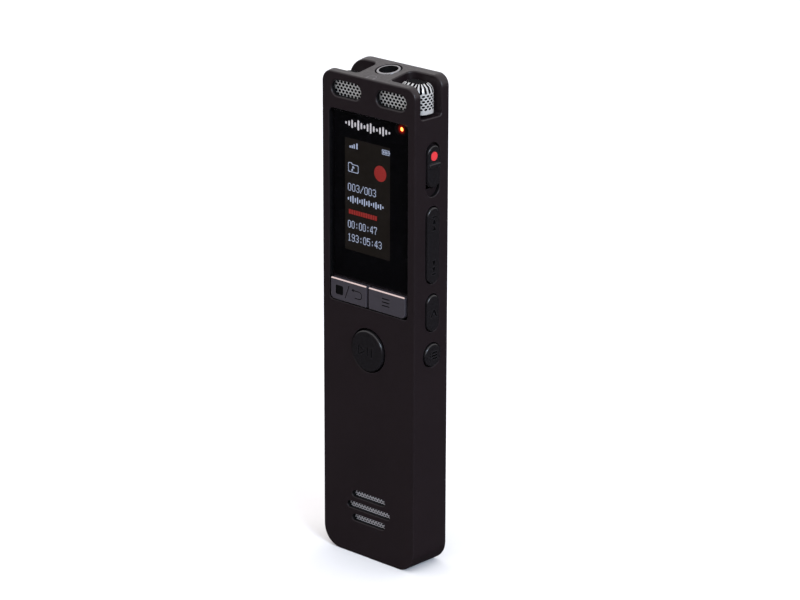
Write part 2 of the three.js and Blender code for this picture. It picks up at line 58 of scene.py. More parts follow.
def span(node):
    """Lowest and highest corner of a CAD node, in millimetres."""
    low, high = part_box(node)
    return low / MM, high / MM


def middle(low, high):
    """The middle of a box, as its x, y and z."""
    return tuple((a + b) / 2 for a, b in zip(low, high))


HOUSING = span("housing")
FRONT = HOUSING[0].y
BACK = HOUSING[1].y
SIDE = HOUSING[1].x
TOP = HOUSING[1].z
FRONT_TOP = 96.5


# ---- Materials ----

# Width of the band along rounded edges that is lightened as a painted highlight.
PAINTED_HIGHLIGHT_WIDTH = 0.35
GRAIN_DEPTH = 0.02


def link(tree, a, b):
    tree.links.new(a, b)


def new_material(name, settings):
    """A material with its node tree, its main shader and the piece's own coordinates."""
    material = bpy.data.materials.new(name)
    material.use_nodes = True
    tree = material.node_tree
    shader = tree.nodes["Principled BSDF"]
    for socket, value in settings.items():
        shader.inputs[socket].default_value = value
    coords = tree.nodes.new("ShaderNodeTexCoord").outputs["Object"]
    return material, tree, shader, coords


def maths(tree, kind, operation, *values):
    """What a Math or VectorMath node makes of its values, which are sockets or numbers."""
    node = tree.nodes.new("ShaderNode" + kind)
    node.operation = operation
    for socket, value in zip(node.inputs, values):
        if isinstance(value, bpy.types.NodeSocket):
            link(tree, value, socket)
        else:
            socket.default_value = value
    return node.outputs["Value"]


def noise(tree, coords, scale, detail=3.0, rough=0.55):
    node = tree.nodes.new("ShaderNodeTexNoise")
    node.inputs["Scale"].default_value = scale
    node.inputs["Detail"].default_value = detail
    node.inputs["Roughness"].default_value = rough
    link(tree, coords, node.inputs["Vector"])
    return node.outputs["Fac"]


def remap(tree, value, low, high, from_low=0.3, from_high=0.7):
    node = tree.nodes.new("ShaderNodeMapRange")
    node.inputs["From Min"].default_value = from_low
    node.inputs["From Max"].default_value = from_high
    node.inputs["To Min"].default_value = low
    node.inputs["To Max"].default_value = high
    link(tree, value, node.inputs["Value"])
    return node.outputs["Result"]


def mix(tree, factor, a, b):
    node = tree.nodes.new("ShaderNodeMix")
    node.data_type = "RGBA"
    colours = [s for s in node.inputs if s.type == "RGBA"]
    for socket, value in zip(colours, (a, b)):
        if isinstance(value, tuple):
            socket.default_value = (*value, 1.0)
        else:
            link(tree, value, socket)
    if isinstance(factor, float):
        node.inputs["Factor"].default_value = factor
    else:
        link(tree, factor, node.inputs["Factor"])
    return [s for s in node.outputs if s.type == "RGBA"][0]


def scaled(colour, factor):
    return tuple(min(1.0, c * factor) for c in colour)


def surface(
    name, colour, roughness, metallic=0.0, specular=0.5, vary=0.15, mottle=90.0, grain=9000.0, bump=0.15,
    stretch=(1, 1, 1), painted_highlight=0.0, painted_highlight_colour=(0.2, 0.2, 0.2), rough_vary=0.08
):
    """A finish with broad colour drift, fine grain in the relief and the gloss, and edges lightened as a
    painted highlight.
    """
    settings = {"Metallic": metallic, "Specular IOR Level": specular}
    material, tree, shader, coords = new_material(name, settings)
    mapping = tree.nodes.new("ShaderNodeMapping")
    mapping.inputs["Scale"].default_value = stretch
    link(tree, coords, mapping.inputs["Vector"])
    fine = mapping.outputs["Vector"]

    drift = noise(tree, coords, mottle, 4.0)
    base = mix(tree, remap(tree, drift, 0.0, 1.0), scaled(colour, 1 - vary), scaled(colour, 1 + vary))
    speck = noise(tree, fine, grain * 0.5, 2.0)
    base = mix(tree, remap(tree, speck, 0.0, 0.5), base, scaled(colour, 1 + 2 * vary))
    # Painted highlight: a lighter colour where the bevelled normal turns away from the face, along every
    # rounded edge.
    if painted_highlight:
        edge = tree.nodes.new("ShaderNodeBevel")
        edge.samples = 4
        edge.inputs["Radius"].default_value = PAINTED_HIGHLIGHT_WIDTH * MM
        flat = tree.nodes.new("ShaderNodeNewGeometry").outputs["Normal"]
        agreement = maths(tree, "VectorMath", "DOT_PRODUCT", edge.outputs["Normal"], flat)
        mask = remap(tree, agreement, painted_highlight, 0.0, 0.80, 0.99)
        base = mix(tree, mask, base, painted_highlight_colour)
    link(tree, base, shader.inputs["Base Color"])

    gloss = noise(tree, fine, grain * 0.25, 3.0)
    level = remap(tree, gloss, roughness - rough_vary, roughness + rough_vary)
    link(tree, level, shader.inputs["Roughness"])
    relief = tree.nodes.new("ShaderNodeBump")
    relief.inputs["Strength"].default_value = bump
    relief.inputs["Distance"].default_value = GRAIN_DEPTH * MM
    link(tree, noise(tree, fine, grain, 2.0), relief.inputs["Height"])
    link(tree, relief.outputs["Normal"], shader.inputs["Normal"])
    return material


def glowing(name, colour, strength, vary=0.1, scale=4000.0):
    """A lit surface, a little uneven from place to place."""
    settings = {
        "Base Color": (*scaled(colour, 0.2), 1),
        "Roughness": 0.4,
        "Specular IOR Level": 0.1,
        "Emission Strength": strength,
    }
    material, tree, shader, coords = new_material(name, settings)
    cells = remap(tree, noise(tree, coords, scale, 2.0), 0.0, 1.0)
    glow = mix(tree, cells, scaled(colour, 1 - vary), scaled(colour, 1 + vary))
    link(tree, glow, shader.inputs["Emission Color"])
    return material


def halo_material(name, centre, radius, colour, strength):
    """Painted glow: light drawn as emission that fades with distance from a small lamp under glass."""
    settings = {
        "Base Color": (0.002, 0.002, 0.002, 1),
        "Roughness": 0.5,
        "Specular IOR Level": 0.1,
        "Emission Strength": strength,
    }
    material, tree, shader, coords = new_material(name, settings)
    away = maths(tree, "VectorMath", "DISTANCE", coords, centre)
    near = remap(tree, away, 1.0, 0.0, 0.2 * radius, radius)
    fade = maths(tree, "Math", "POWER", near, 2.6)
    link(tree, mix(tree, fade, (0.0, 0.0, 0.0), colour), shader.inputs["Emission Color"])
    return material


def glass_material(name):
    """Clear, thin glass: faintly tinted, with smears in its polish, and glossy at a low angle."""
    material, tree, shader, coords = new_material(name, {})
    tree.nodes.remove(shader)
    smears = noise(tree, coords, 120.0, 3.0)
    clear = tree.nodes.new("ShaderNodeBsdfTransparent")
    tint = mix(tree, remap(tree, smears, 0.0, 1.0), (0.93, 0.93, 0.95), (0.97, 0.97, 0.98))
    link(tree, tint, clear.inputs["Color"])
    sheen = tree.nodes.new("ShaderNodeBsdfGlossy")
    link(tree, remap(tree, smears, 0.03, 0.09), sheen.inputs["Roughness"])
    facing = tree.nodes.new("ShaderNodeLayerWeight")
    facing.inputs["Blend"].default_value = 0.5
    grazing = maths(tree, "Math", "POWER", facing.outputs["Facing"], 4.0)
    blend = tree.nodes.new("ShaderNodeMixShader")
    link(tree, remap(tree, grazing, 0.02, 1.0), blend.inputs["Fac"])
    link(tree, clear.outputs["BSDF"], blend.inputs[1])
    link(tree, sheen.outputs["BSDF"], blend.inputs[2])
    link(tree, blend.outputs["Shader"], tree.nodes["Material Output"].inputs["Surface"])
    return material


# Finishes with a lighter edge colour get it as a painted highlight along their edges.
SHELL = surface(
    "shell_finish", (0.0108, 0.0068, 0.0082), 0.36, specular=0.35, vary=0.10, mottle=70.0, bump=0.1,
    painted_highlight=0.35, painted_highlight_colour=(0.035, 0.031, 0.036)
)
COVER = surface(
    "cover_finish", (0.0082, 0.0064, 0.0075), 0.38, specular=0.35, vary=0.10, mottle=60.0, bump=0.12,
    stretch=(1, 1, 0.06), painted_highlight=0.35, painted_highlight_colour=(0.035, 0.031, 0.036)
)
CONTROL = surface(
    "control_finish", (0.0082, 0.0072, 0.0082), 0.24, specular=0.45, vary=0.08, bump=0.012, painted_highlight=0.4,
    painted_highlight_colour=(0.04, 0.038, 0.042), rough_vary=0.03
)
KEY = surface(
    "key_finish", (0.036, 0.032, 0.039), 0.36, specular=0.35, vary=0.12, bump=0.1, stretch=(0.12, 1, 1),
    painted_highlight=0.35, painted_highlight_colour=(0.12, 0.11, 0.12)
)
KEY_EDGE = surface("key_polished_edge", (0.62, 0.5, 0.48), 0.25, metallic=1.0, vary=0.05, bump=0.05)
# Black cloth behind the grilles and inside the cages; on the flat tops of the cages it is painted shade.
CLOTH_AND_PAINTED_SHADE = surface(
    "black_cloth_and_painted_shade", (0.004, 0.004, 0.0045), 0.9, specular=0.05, vary=0.3, mottle=1500.0, bump=0.6
)
# Near-black painted shade for the walls of holes, the bore of the socket and the backs of perforated sheets.
PAINTED_SHADE = surface("bore_shade", (0.0035, 0.0033, 0.0036), 0.6, specular=0.12, vary=0.2, bump=0.1)
# Near-black fill of sunk marks: painted shade in their recesses. The bays borrow it to tag their faces before
# bevelling.
PAINTED_MARK_SHADE = surface("engraved_painted_shade", (0.0022, 0.0021, 0.0024), 0.5, specular=0.08, vary=0.2, bump=0.1)
MESH = surface(
    "mesh_metal", (0.55, 0.55, 0.54), 0.34, metallic=0.35, vary=0.1, mottle=900.0, grain=16000.0,
    rough_vary=0.1
)
SPEAKER_MESH = surface(
    "speaker_mesh_metal", (0.5, 0.5, 0.535), 0.4, metallic=0.2, mottle=900.0, grain=16000.0, bump=0.2
)
SCREW = surface("screw_black_steel", (0.035, 0.035, 0.037), 0.35, metallic=0.9, vary=0.2, bump=0.2, painted_highlight=0.5)
PLATED = surface("plated_metal", (0.62, 0.61, 0.58), 0.3, metallic=0.95, vary=0.12, bump=0.2)
JACK_RING = surface("jack_ring", (0.22, 0.215, 0.22), 0.32, metallic=0.6, vary=0.12, bump=0.15)
JACK_BODY = surface("jack_moulding", (0.012, 0.012, 0.013), 0.5, specular=0.3, bump=0.2)
RED = surface("red_mark", (0.62, 0.028, 0.035), 0.4, specular=0.35, vary=0.08, bump=0.12)
MASK = surface("window_mask", (0.0016, 0.0015, 0.002), 0.6, specular=0.03, vary=0.1, bump=0.02)
PRINT = surface("pale_print", (0.62, 0.6, 0.58), 0.6, specular=0.1, vary=0.06, bump=0.05)
FAINT_PRINT = surface("faint_print", (0.15, 0.14, 0.145), 0.55, specular=0.1, vary=0.1, bump=0.05)
GLASS = glass_material("window_glass")
PANEL = glowing("display_panel_lit", (0.0098, 0.0080, 0.0066), 1.0, vary=0.12, scale=900.0)
PIXEL = glowing("pixel_pale", (0.40, 0.46, 0.60), 0.95)
PIXEL_RED = glowing("pixel_red", (0.24, 0.022, 0.019), 1.0)
LAMP = glowing("lamp_lit", (1.0, 0.24, 0.04), 8.0, vary=0.05)
RUBBER = surface("black_rubber", (0.012, 0.012, 0.012), 0.8, specular=0.2, vary=0.2, bump=0.5, grain=5000.0)
MOULDED = surface("black_moulding", (0.014, 0.014, 0.015), 0.6, specular=0.3, bump=0.3, grain=5000.0)
PALE = surface("pale_moulding", (0.6, 0.57, 0.48), 0.6, vary=0.08, bump=0.25, grain=5000.0)
BOARD = surface("board_mask", (0.012, 0.10, 0.045), 0.35, vary=0.3, mottle=1200.0, bump=0.4, grain=3000.0)
FLEX = surface("flex_film", (0.35, 0.16, 0.03), 0.3, vary=0.15, bump=0.1)
CHIP = surface("chip_epoxy", (0.012, 0.012, 0.013), 0.55, vary=0.15, bump=0.4, grain=6000.0)
FOIL = surface("cell_foil", (0.55, 0.56, 0.58), 0.38, metallic=0.8, vary=0.08, bump=0.6, grain=1500.0)

SLOT_FINISH = {
    "shell": SHELL,
    "screws": SCREW,
    "window": GLASS,
    "display": MOULDED,
    "flex": FLEX,
    "connectors": PALE,
    "indicator": RED,
    "keys": KEY,
    "controls": CONTROL,
    "red_mark": RED,
    "mesh_metal": MESH,
    "rubber_parts": RUBBER,
    "plated_metal": PLATED,
    "jack_plastic": JACK_BODY,
    "speaker_body": MOULDED,
    "board": BOARD,
    "cell_foil": FOIL,
    "chips": CHIP,
}
for part in frame["record"]["subparts"]:
    slots = frame["nodes"][part["node"]].data.materials
    slots.clear()
    slots.append(SLOT_FINISH[part["material_slot"]])


# ---- Shapes ----


def outline(x, y, width, height, radii, grow=0.0, steps=8):
    """Points round a rounded rectangle, anticlockwise. radii is one radius, or those of the
    lower right, upper right, upper left and lower left corners."""
    if not isinstance(radii, tuple):
        radii = (radii,) * 4
    half_w, half_h = width / 2 + grow, height / 2 + grow
    most = min(half_w, half_h)
    points = []
    for corner, (sx, sy, start) in enumerate(((1, -1, 270), (1, 1, 0), (-1, 1, 90), (-1, -1, 180))):
        r = max(min(radii[corner] + grow, most), 0.002)
        cx, cy = x + sx * (half_w - r), y + sy * (half_h - r)
        for i in range(steps + 1):
            a = math.radians(start + 90 * i / steps)
            points.append((cx + r * math.cos(a), cy + r * math.sin(a)))
    return points


def profile(x, y, width, height, radii, steps=8):
    """The same outline, as a function of how far it grows."""
    return lambda grow: outline(x, y, width, height, radii, grow, steps)


def disc(x, y, diameter, steps=8):
    """A circle, as a function of how far it grows."""
    return profile(x, y, diameter, diameter, diameter / 2, steps)


def place(plane, across, up, level):
    """A point in a plane that is named by its two axes, at a level on the third, in metres."""
    if plane == "XZ":
        return Vector((across, level, up)) * MM
    if plane == "YZ":
        return Vector((level, across, up)) * MM
    return Vector((across, up, level)) * MM


def new_object(name, mesh):
    piece = bpy.data.objects.new(name, mesh)
    bpy.context.scene.collection.objects.link(piece)
    return piece


def object_from(bm, name, materials=()):
    """Puts a finished bmesh into the scene."""
    mesh = bpy.data.meshes.new(name)
    bm.to_mesh(mesh)
    bm.free()
    for material in materials:
        mesh.materials.append(material)
    return new_object(name, mesh)


def tidy(bm):
    """Merges points that coincide, and turns all faces outwards."""
    bmesh.ops.remove_doubles(bm, verts=bm.verts, dist=0.0008 * MM)
    bmesh.ops.recalc_face_normals(bm, faces=bm.faces)


def loft(name, plane, rings, material=None):
    """A closed solid through rings of points, each given as (level, points)."""
    bm = bmesh.new()
    loops = [[bm.verts.new(place(plane, u, v, level)) for u, v in points] for level, points in rings]
    count = len(loops[0])
    for low, high in zip(loops, loops[1:]):
        for i in range(count):
            j = (i + 1) % count
            bm.faces.new((low[i], low[j], high[j], high[i]))
    bm.faces.new(list(reversed(loops[0])))
    bm.faces.new(loops[-1])
    tidy(bm)
    return object_from(bm, name, [material] if material else [])


def block(name, low, high, radius=0.05, material=None):
    """A box with its upright edges rounded and its ends eased."""
    centre = middle(low, high)[:2]
    size = (high[0] - low[0], high[1] - low[1])
    rings = []
    for level, grow in ((low[2], -radius), (low[2] + radius, 0), (high[2] - radius, 0), (high[2], -radius)):
        rings.append((level, outline(*centre, *size, radius * 1.5, grow, 3)))
    return loft(name, "XY", rings, material)


def arc(count):
    return [math.radians(90 * i / count) for i in range(count + 1)]


def cap_rings(shape, inner, outer, edge, steps=4):
    """Rings from inner to outer, with the outer edge rounded. shape(grow) gives the points."""
    out = 1 if outer > inner else -1
    rings = [(inner, shape(0.0))]
    for a in arc(steps):
        rings.append((outer - out * edge * (1 - math.sin(a)), shape(-edge * (1 - math.cos(a)))))
    rings.append((outer, shape(-edge * 1.6)))
    return rings


def dark_walls(cutter, axis, face, rim):
    """Gives the walls of a hole, below its rounded rim, a near-black painted shade."""
    cutter.data.materials.append(SHELL)
    cutter.data.materials.append(PAINTED_SHADE)
    for polygon in cutter.data.polygons:
        if abs(polygon.center[axis] / MM - face) > rim + 0.02 and abs(polygon.normal[axis]) < 0.7:
            outside = abs(polygon.center[axis]) / MM > abs(face)
            polygon.material_index = 0 if outside else 1
    return cutter


def hole_rings(shape, face, deep, rim, steps=4):
    """Rings of a cutter that opens a hole from a face to a depth and rounds the hole's rim."""
    into = 1 if deep > face else -1
    rings = [(face - into * 1.5, shape(rim))]
    for a in arc(steps):
        level = face + into * (rim * (1 - math.cos(a)) - 0.004)
        rings.append((level, shape(rim * (1 - math.sin(a)))))
    rings.append((deep, shape(0.0)))
    return rings


def join(name, parts):
    """One object from several, each keeping its finishes. The several are removed."""
    bm = bmesh.new()
    materials = []
    for part in parts:
        start = len(bm.faces)
        bm.from_mesh(part.data)
        bm.faces.ensure_lookup_table()
        slots = list(part.data.materials)
        for face in bm.faces[start:]:
            material = slots[face.material_index] if slots else None
            if material not in materials:
                materials.append(material)
            face.material_index = materials.index(material)
    for part in parts:
        bpy.data.objects.remove(part)
    return object_from(bm, name, materials)


def combine(piece, cutter, operation="DIFFERENCE"):
    """Cuts a cutter away from a piece, or joins it on, and drops it. Its faces keep its finish."""
    step = piece.modifiers.new("combine", "BOOLEAN")
    step.operation = operation
    step.solver = "EXACT"
    step.material_mode = "TRANSFER"
    step.object = cutter
    bpy.context.view_layer.update()
    graph = bpy.context.evaluated_depsgraph_get()
    mesh = bpy.data.meshes.new_from_object(piece.evaluated_get(graph))
    piece.modifiers.clear()
    piece.data = mesh
    bpy.data.objects.remove(cutter)
    return piece


def cut(piece, *cutters):
    """Cuts all the cutters away at once."""
    return combine(piece, join("cutters", list(cutters)))


def finish(piece, slot, *nodes, body=BODY, material=None, angle=32, ease=True):
    """Shades a piece, names its body, and hides the CAD nodes it stands for. The slot is not used."""
    mesh = piece.data
    if material:
        mesh.materials.clear()
        mesh.materials.append(material)
    bm = bmesh.new()
    bm.from_mesh(mesh)
    limit = math.radians(angle)
    for face in bm.faces:
        face.smooth = True
    for edge in bm.edges:
        edge.smooth = len(edge.link_faces) == 2 and edge.calc_face_angle(0) < limit
    bm.to_mesh(mesh)
    bm.free()
    if ease:
        normals = piece.modifiers.new("even_normals", "WEIGHTED_NORMAL")
        normals.keep_sharp = True
        normals.weight = 80
    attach(piece, body)
    if nodes:
        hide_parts(*nodes)
    return piece


def stroke(path, width):
    """The outline of a line of even width along a path."""
    left, right = [], []
    for i, point in enumerate(path):
        before = Vector(path[max(i - 1, 0)])
        after = Vector(path[min(i + 1, len(path) - 1)])
        along = (after - before).normalized()
        side = Vector((-along.y, along.x)) * width / 2
        left.append(tuple(Vector(point) + side))
        right.append(tuple(Vector(point) - side))
    return left + right[::-1]


def engrave(piece, plane, face, depth, shapes, material=PAINTED_MARK_SHADE):
    """Sinks each shape into a face by a depth; a negative depth sinks along the other way."""
    # The sunk marks take the near-black painted shade.
    out = -1 if depth > 0 else 1
    cutters = []
    for points in shapes:
        rings = [(face + out * 0.3, points), (face + depth, points)]
        cutters.append(loft("mark", plane, rings, material))
    return cut(piece, *cutters)


# ---- Perforated metal ----


def perforated(name, cells, place_point, thickness, material, caps=()):
    """A sheet made of cells, each with or without a hole. A cell is (edge points, hole points),
    with as many of each, or no hole. caps lists closed loops of points that fill an end. The
    walls of the holes and the back get a near-black painted shade."""
    bm = bmesh.new()
    outer, inner, faces, unlit = {}, {}, [], []

    def corner(point):
        key = (round(point[0], 3), round(point[1], 3))
        if key not in outer:
            outer[key] = bm.verts.new(place_point(*point, 0.0))
            inner[key] = bm.verts.new(place_point(*point, thickness))
        return key

    hole_edges = set()
    for edge_points, hole_points in cells:
        ring = [corner(p) for p in edge_points]
        count = len(ring)
        if not hole_points:
            faces.append(ring)
            continue
        hole = [corner(p) for p in hole_points]
        for i in range(count):
            j = (i + 1) % count
            faces.append([ring[i], ring[j], hole[j], hole[i]])
            hole_edges.add((hole[i], hole[j]))
            unlit.append(bm.faces.new((outer[hole[i]], outer[hole[j]], inner[hole[j]], inner[hole[i]])))
    for loop in caps:
        faces.append([corner(p) for p in loop])
    seen = {}
    for keys in faces:
        keys = [k for i, k in enumerate(keys) if k != keys[i - 1]]
        bm.faces.new([outer[k] for k in keys])
        unlit.append(bm.faces.new([inner[k] for k in reversed(keys)]))
        for a, b in zip(keys, keys[1:] + keys[:1]):
            seen[frozenset((a, b))] = seen.get(frozenset((a, b)), 0) + 1
    rims = {frozenset(e) for e in hole_edges}
    for pair, times in seen.items():
        if times == 1 and pair not in rims:
            a, b = tuple(pair)
            bm.faces.new((outer[a], outer[b], inner[b], inner[a]))
    # Painted shade on the hole walls and the back.
    for face in unlit:
        face.material_index = 1
    tidy(bm)
    return object_from(bm, name, (material, PAINTED_SHADE))


def cell_edge(u, v, width, height, sides, tops):
    """Points round a cell from the middle of its right side, anticlockwise."""
    right = [(u + width / 2, v - height / 2 + height * i / sides) for i in range(sides)]
    top = [(u + width / 2 - width * i / tops, v + height / 2) for i in range(tops)]
    left = [(u - width / 2, v + height / 2 - height * i / sides) for i in range(sides)]
    bottom = [(u - width / 2 + width * i / tops, v - height / 2) for i in range(tops)]
    ring = right + top + left + bottom
    return ring[sides // 2 :] + ring[: sides // 2]


def round_hole(u, v, width, height, count):
    """A hole from its right-hand point, anticlockwise: an ellipse, or a slot if it is long."""
    straight = max(0.0, (height - width) / 2) if height > 1.6 * width else 0.0
    radius_u = width / 2
    radius_v = height / 2 - straight
    points = []
    for i in range(count):
        a = 2 * math.pi * i / count
        lift = straight * (1 if 0 < i < count / 2 else -1 if i > count / 2 else 0)
        points.append((u + radius_u * math.cos(a), v + radius_v * math.sin(a) + lift))
    return points


def flat_sheet(name, low, high, level, thickness, pitch, row, hole, material, fine=4):
    """A flat perforated sheet in the XZ plane, with its holes in staggered rows."""
    columns = int((high[0] - low[0]) / pitch)
    rows = int((high[1] - low[1]) / row)
    left = (low[0] + high[0]) / 2 - columns * pitch / 2
    bottom = (low[1] + high[1]) / 2 - rows * row / 2
    cells = []
    for j in range(rows):
        v = bottom + (j + 0.5) * row
        shifted = j % 2
        for i in range(columns - shifted):
            u = left + (i + 0.5 + shifted / 2) * pitch
            edge = cell_edge(u, v, pitch, row, fine, fine)
            cells.append((edge, round_hole(u, v, *hole, 4 * fine)))
        if shifted:
            for u in (left + pitch / 4, left + (columns - 0.25) * pitch):
                cells.append((cell_edge(u, v, pitch / 2, row, fine, fine // 2), None))
    return perforated(name, cells, lambda u, v, d: place("XZ", u, v, level + d), thickness, material)


def cage(name, low, high, radius, shoulder, thickness=0.22):
    """A perforated cap with round upright corners and a round shoulder, open underneath."""
    centre = ((low.x + high.x) / 2, (low.y + high.y) / 2)
    flat_x, flat_y = high.x - low.x - 2 * radius, high.y - low.y - 2 * radius
    quarter = math.pi * radius / 2
    around = 2 * (flat_x + flat_y) + 4 * quarter
    wall_top = high.z - shoulder

    def point(u, v, depth):
        u = u % around
        turn = max(0.0, v - wall_top) / shoulder
        reach = radius - shoulder * (1 - math.cos(turn)) - depth * math.cos(turn)
        z = min(v, wall_top) + (shoulder - depth) * math.sin(turn) if v > wall_top else v
        for side, (length, along, out) in enumerate(
            (
                (flat_y, Vector((0, 1)), Vector((1, 0))),
                (flat_x, Vector((-1, 0)), Vector((0, 1))),
                (flat_y, Vector((0, -1)), Vector((-1, 0))),
                (flat_x, Vector((1, 0)), Vector((0, -1))),
            )
        ):
            start = Vector(centre) + out * ((flat_x if out.x else flat_y) / 2) - along * length / 2
            if u <= length:
                spot = start + along * u + out * reach
                break
            u -= length
            if u <= quarter:
                a = u / radius
                spot = start + along * length + (out * math.cos(a) + along * math.sin(a)) * reach
                break
            u -= quarter
        return Vector((spot.x, spot.y, z)) * MM

    columns = round(around / 1.0)
    pitch = around / columns
    slot_low, slot_high = wall_top - 0.25, wall_top + 1.42 * shoulder
    row = 0.5
    row_count = int((slot_low - low.z - 0.25) / row)
    cells = []

    def add_row(v_low, v_high, hole, shifted, sides):
        v, height = (v_low + v_high) / 2, v_high - v_low
        for i in range(columns):
            u = (i + 0.5 + shifted / 2) * pitch
            edge = cell_edge(u, v, pitch, height, sides, 4)
            holes = round_hole(u, v, *hole, 2 * sides + 8) if hole else None
            wrapped = [(round(p[0] % around, 5) % around, p[1]) for p in edge]
            cells.append((wrapped, [(p[0] % around, p[1]) for p in holes] if holes else None))

    first = slot_low - row_count * row
    add_row(low.z, first, None, 0, 4)
    for j in range(row_count):
        add_row(first + j * row, first + (j + 1) * row, (0.68, 0.43), j % 2, 4)
    add_row(slot_low, slot_high, (0.58, slot_high - slot_low - 0.24), row_count % 2, 8)
    top = wall_top + shoulder * math.pi / 2
    add_row(slot_high, top, None, row_count % 2, 4)
    step = pitch / 4
    shift = (row_count % 2) / 2 * pitch
    loop = [((shift + i * step) % around, top) for i in range(columns * 4)]
    sheet = perforated(name, cells, point, thickness, MESH, caps=[loop])
    # The flat top takes the black cloth finish as painted shade, so it reads dark.
    for polygon in sheet.data.polygons:
        if polygon.center.z > (high.z - 0.06) * MM:
            polygon.material_index = 2
    sheet.data.materials.append(CLOTH_AND_PAINTED_SHADE)
    return sheet


# ---- Housing ----

SIDE_Y = 0.25
EDGE = 0.25
INNER_FRONT = FRONT + 2
PLATE_FRONT = -0.3
RECESS = {"half": 10.2, "low": 51.3, "high": 89.4, "floor": FRONT + 1.2}
BAY = {"floor": 90.4, "front": -3.05, "back": 2.65, "near": 4.2, "bend": 0.6, "rim": 0.28}
PLAY = {"z": 43.0, "hole": 8.84, "cap": 8.2}
STEM = {"x": 5, "z": 53.7}
SLOTS = ((12.6, 8.76), (10.12, 11.36), (7.64, 8.76))
JACK_Y = 0.95

# The controls on the right side, each as its height on the body, its width and its length.
TRACK = {"z": 80.35, "width": 3.8, "length": 10.6}
SIDE_CAPS = {
    "skip_rocker": (65.6, 3.4, 14.9),
    "side_button": (52.2, 3.4, 7.2),
    "list_button": (43.8, 4.5, 4.5),
}
SIDE_GAP = 0.4
SIDE_RIM = 0.13

COVER_LOW, COVER_HIGH = span("back_cover")
COVER_SEAT_GAP = 0.6


def top_at(y):
    """Height of the sloping top at a distance from front to back."""
    return TOP + (y - BACK) * (TOP - FRONT_TOP) / (BACK - FRONT)


def slope_top(piece, above=TOP / 2):
    """Lowers the head of a piece towards the front, to follow the sloping top."""
    for vertex in piece.data.vertices:
        if vertex.co.z > above * MM:
            vertex.co.z += (top_at(vertex.co.y / MM) - TOP) * MM
    return piece


def body_outline(grow, back=False):
    """The body seen from the front. The plate behind the left bay has a rounder corner."""
    return outline(0, TOP / 2, 2 * SIDE, TOP, (4.2, 2.3, 4.6 if back else 2.3, 4.2), grow, 12)


def cover_profile(grow, foot_radius, head_radius):
    """The back cover's outline, larger all over by grow."""
    width = COVER_HIGH.x - COVER_LOW.x + grow
    height = COVER_HIGH.z - COVER_LOW.z + grow
    radii = (foot_radius, head_radius, head_radius, foot_radius)
    return profile(0, middle(COVER_LOW, COVER_HIGH)[2], width, height, radii, 6)


def face_hole(x, z, width, height, radius, deep, rim, steps=8):
    """A cutter for a hole in the front, with a rounded rim."""
    shape = profile(x, z, width, height, radius, steps)
    return dark_walls(loft("hole", "XZ", hole_rings(shape, FRONT, deep, rim)), 1, FRONT, rim)


def side_hole(z, width, height, deep):
    """A cutter for a hole in the right side, with round ends and a rounded rim."""
    shape = profile(SIDE_Y, z, width, height, width / 2, 10)
    return dark_walls(loft("hole", "YZ", hole_rings(shape, SIDE, deep, SIDE_RIM)), 0, SIDE, SIDE_RIM)


def plain(plane, x, y, width, height, radius, low, high, steps=4):
    """A straight block with rounded corners, between two levels."""
    points = outline(x, y, width, height, radius, 0, steps)
    return loft("plain", plane, [(low, points), (high, points)])


def rod(plane, x, y, diameter, low, high, steps=4):
    """A straight cylinder between two levels."""
    return plain(plane, x, y, diameter, diameter, diameter / 2, low, high, steps)


def solid_body():
    """The body before anything is cut from it, with its front and back edges rounded."""
    turns = [(EDGE * (1 - math.cos(a)), -EDGE * (1 - math.sin(a))) for a in arc(5)]
    rings = [(FRONT + inward, body_outline(grow)) for inward, grow in turns]
    rings.append((PLATE_FRONT - 0.1, body_outline(0)))
    rings.append((PLATE_FRONT, body_outline(0, True)))
    rings += [(BACK - inward, body_outline(grow, True)) for inward, grow in reversed(turns)]
    return slope_top(loft("housing_shell", "XZ", rings, SHELL))


def bay_cutter(side):
    """A cutter for one microphone bay, open at the top and the side, with a rounded floor."""
    radii = (0.6, 0.6, 1.5, 0.7) if side > 0 else (0.7, 1.5, 0.6, 0.6)
    length, depth = 16, BAY["back"] - BAY["front"]
    shape = profile(side * (BAY["near"] + length / 2), (BAY["front"] + BAY["back"]) / 2, length, depth, radii)
    bend = BAY["bend"]
    rings = [(BAY["floor"] + bend * (1 - math.cos(a)), shape(-bend * (1 - math.sin(a)))) for a in arc(4)]
    rings.append((TOP + 3, shape(0)))
    return loft("bay", "XY", rings, PAINTED_MARK_SHADE)


def cut_bays(body):
    """Cuts both bays. Their finish marks their faces until the edges round them are bevelled."""
    cut(body, bay_cutter(-1), bay_cutter(1))
    bay_slot = [m.name for m in body.data.materials].index(PAINTED_MARK_SHADE.name)
    bm = bmesh.new()
    bm.from_mesh(body.data)
    rims = []
    for edge in bm.edges:
        in_bay = [face.material_index == bay_slot for face in edge.link_faces]
        if len(in_bay) == 2 and in_bay[0] != in_bay[1]:
            rims.append(edge)
    bmesh.ops.bevel(
        bm, geom=rims, offset=BAY["rim"] * MM, segments=3, profile=0.5, affect="EDGES", clamp_overlap=True
    )
    for face in bm.faces:
        face.material_index = 0
    bm.to_mesh(body.data)
    bm.free()
    body.data.materials.clear()
    body.data.materials.append(SHELL)


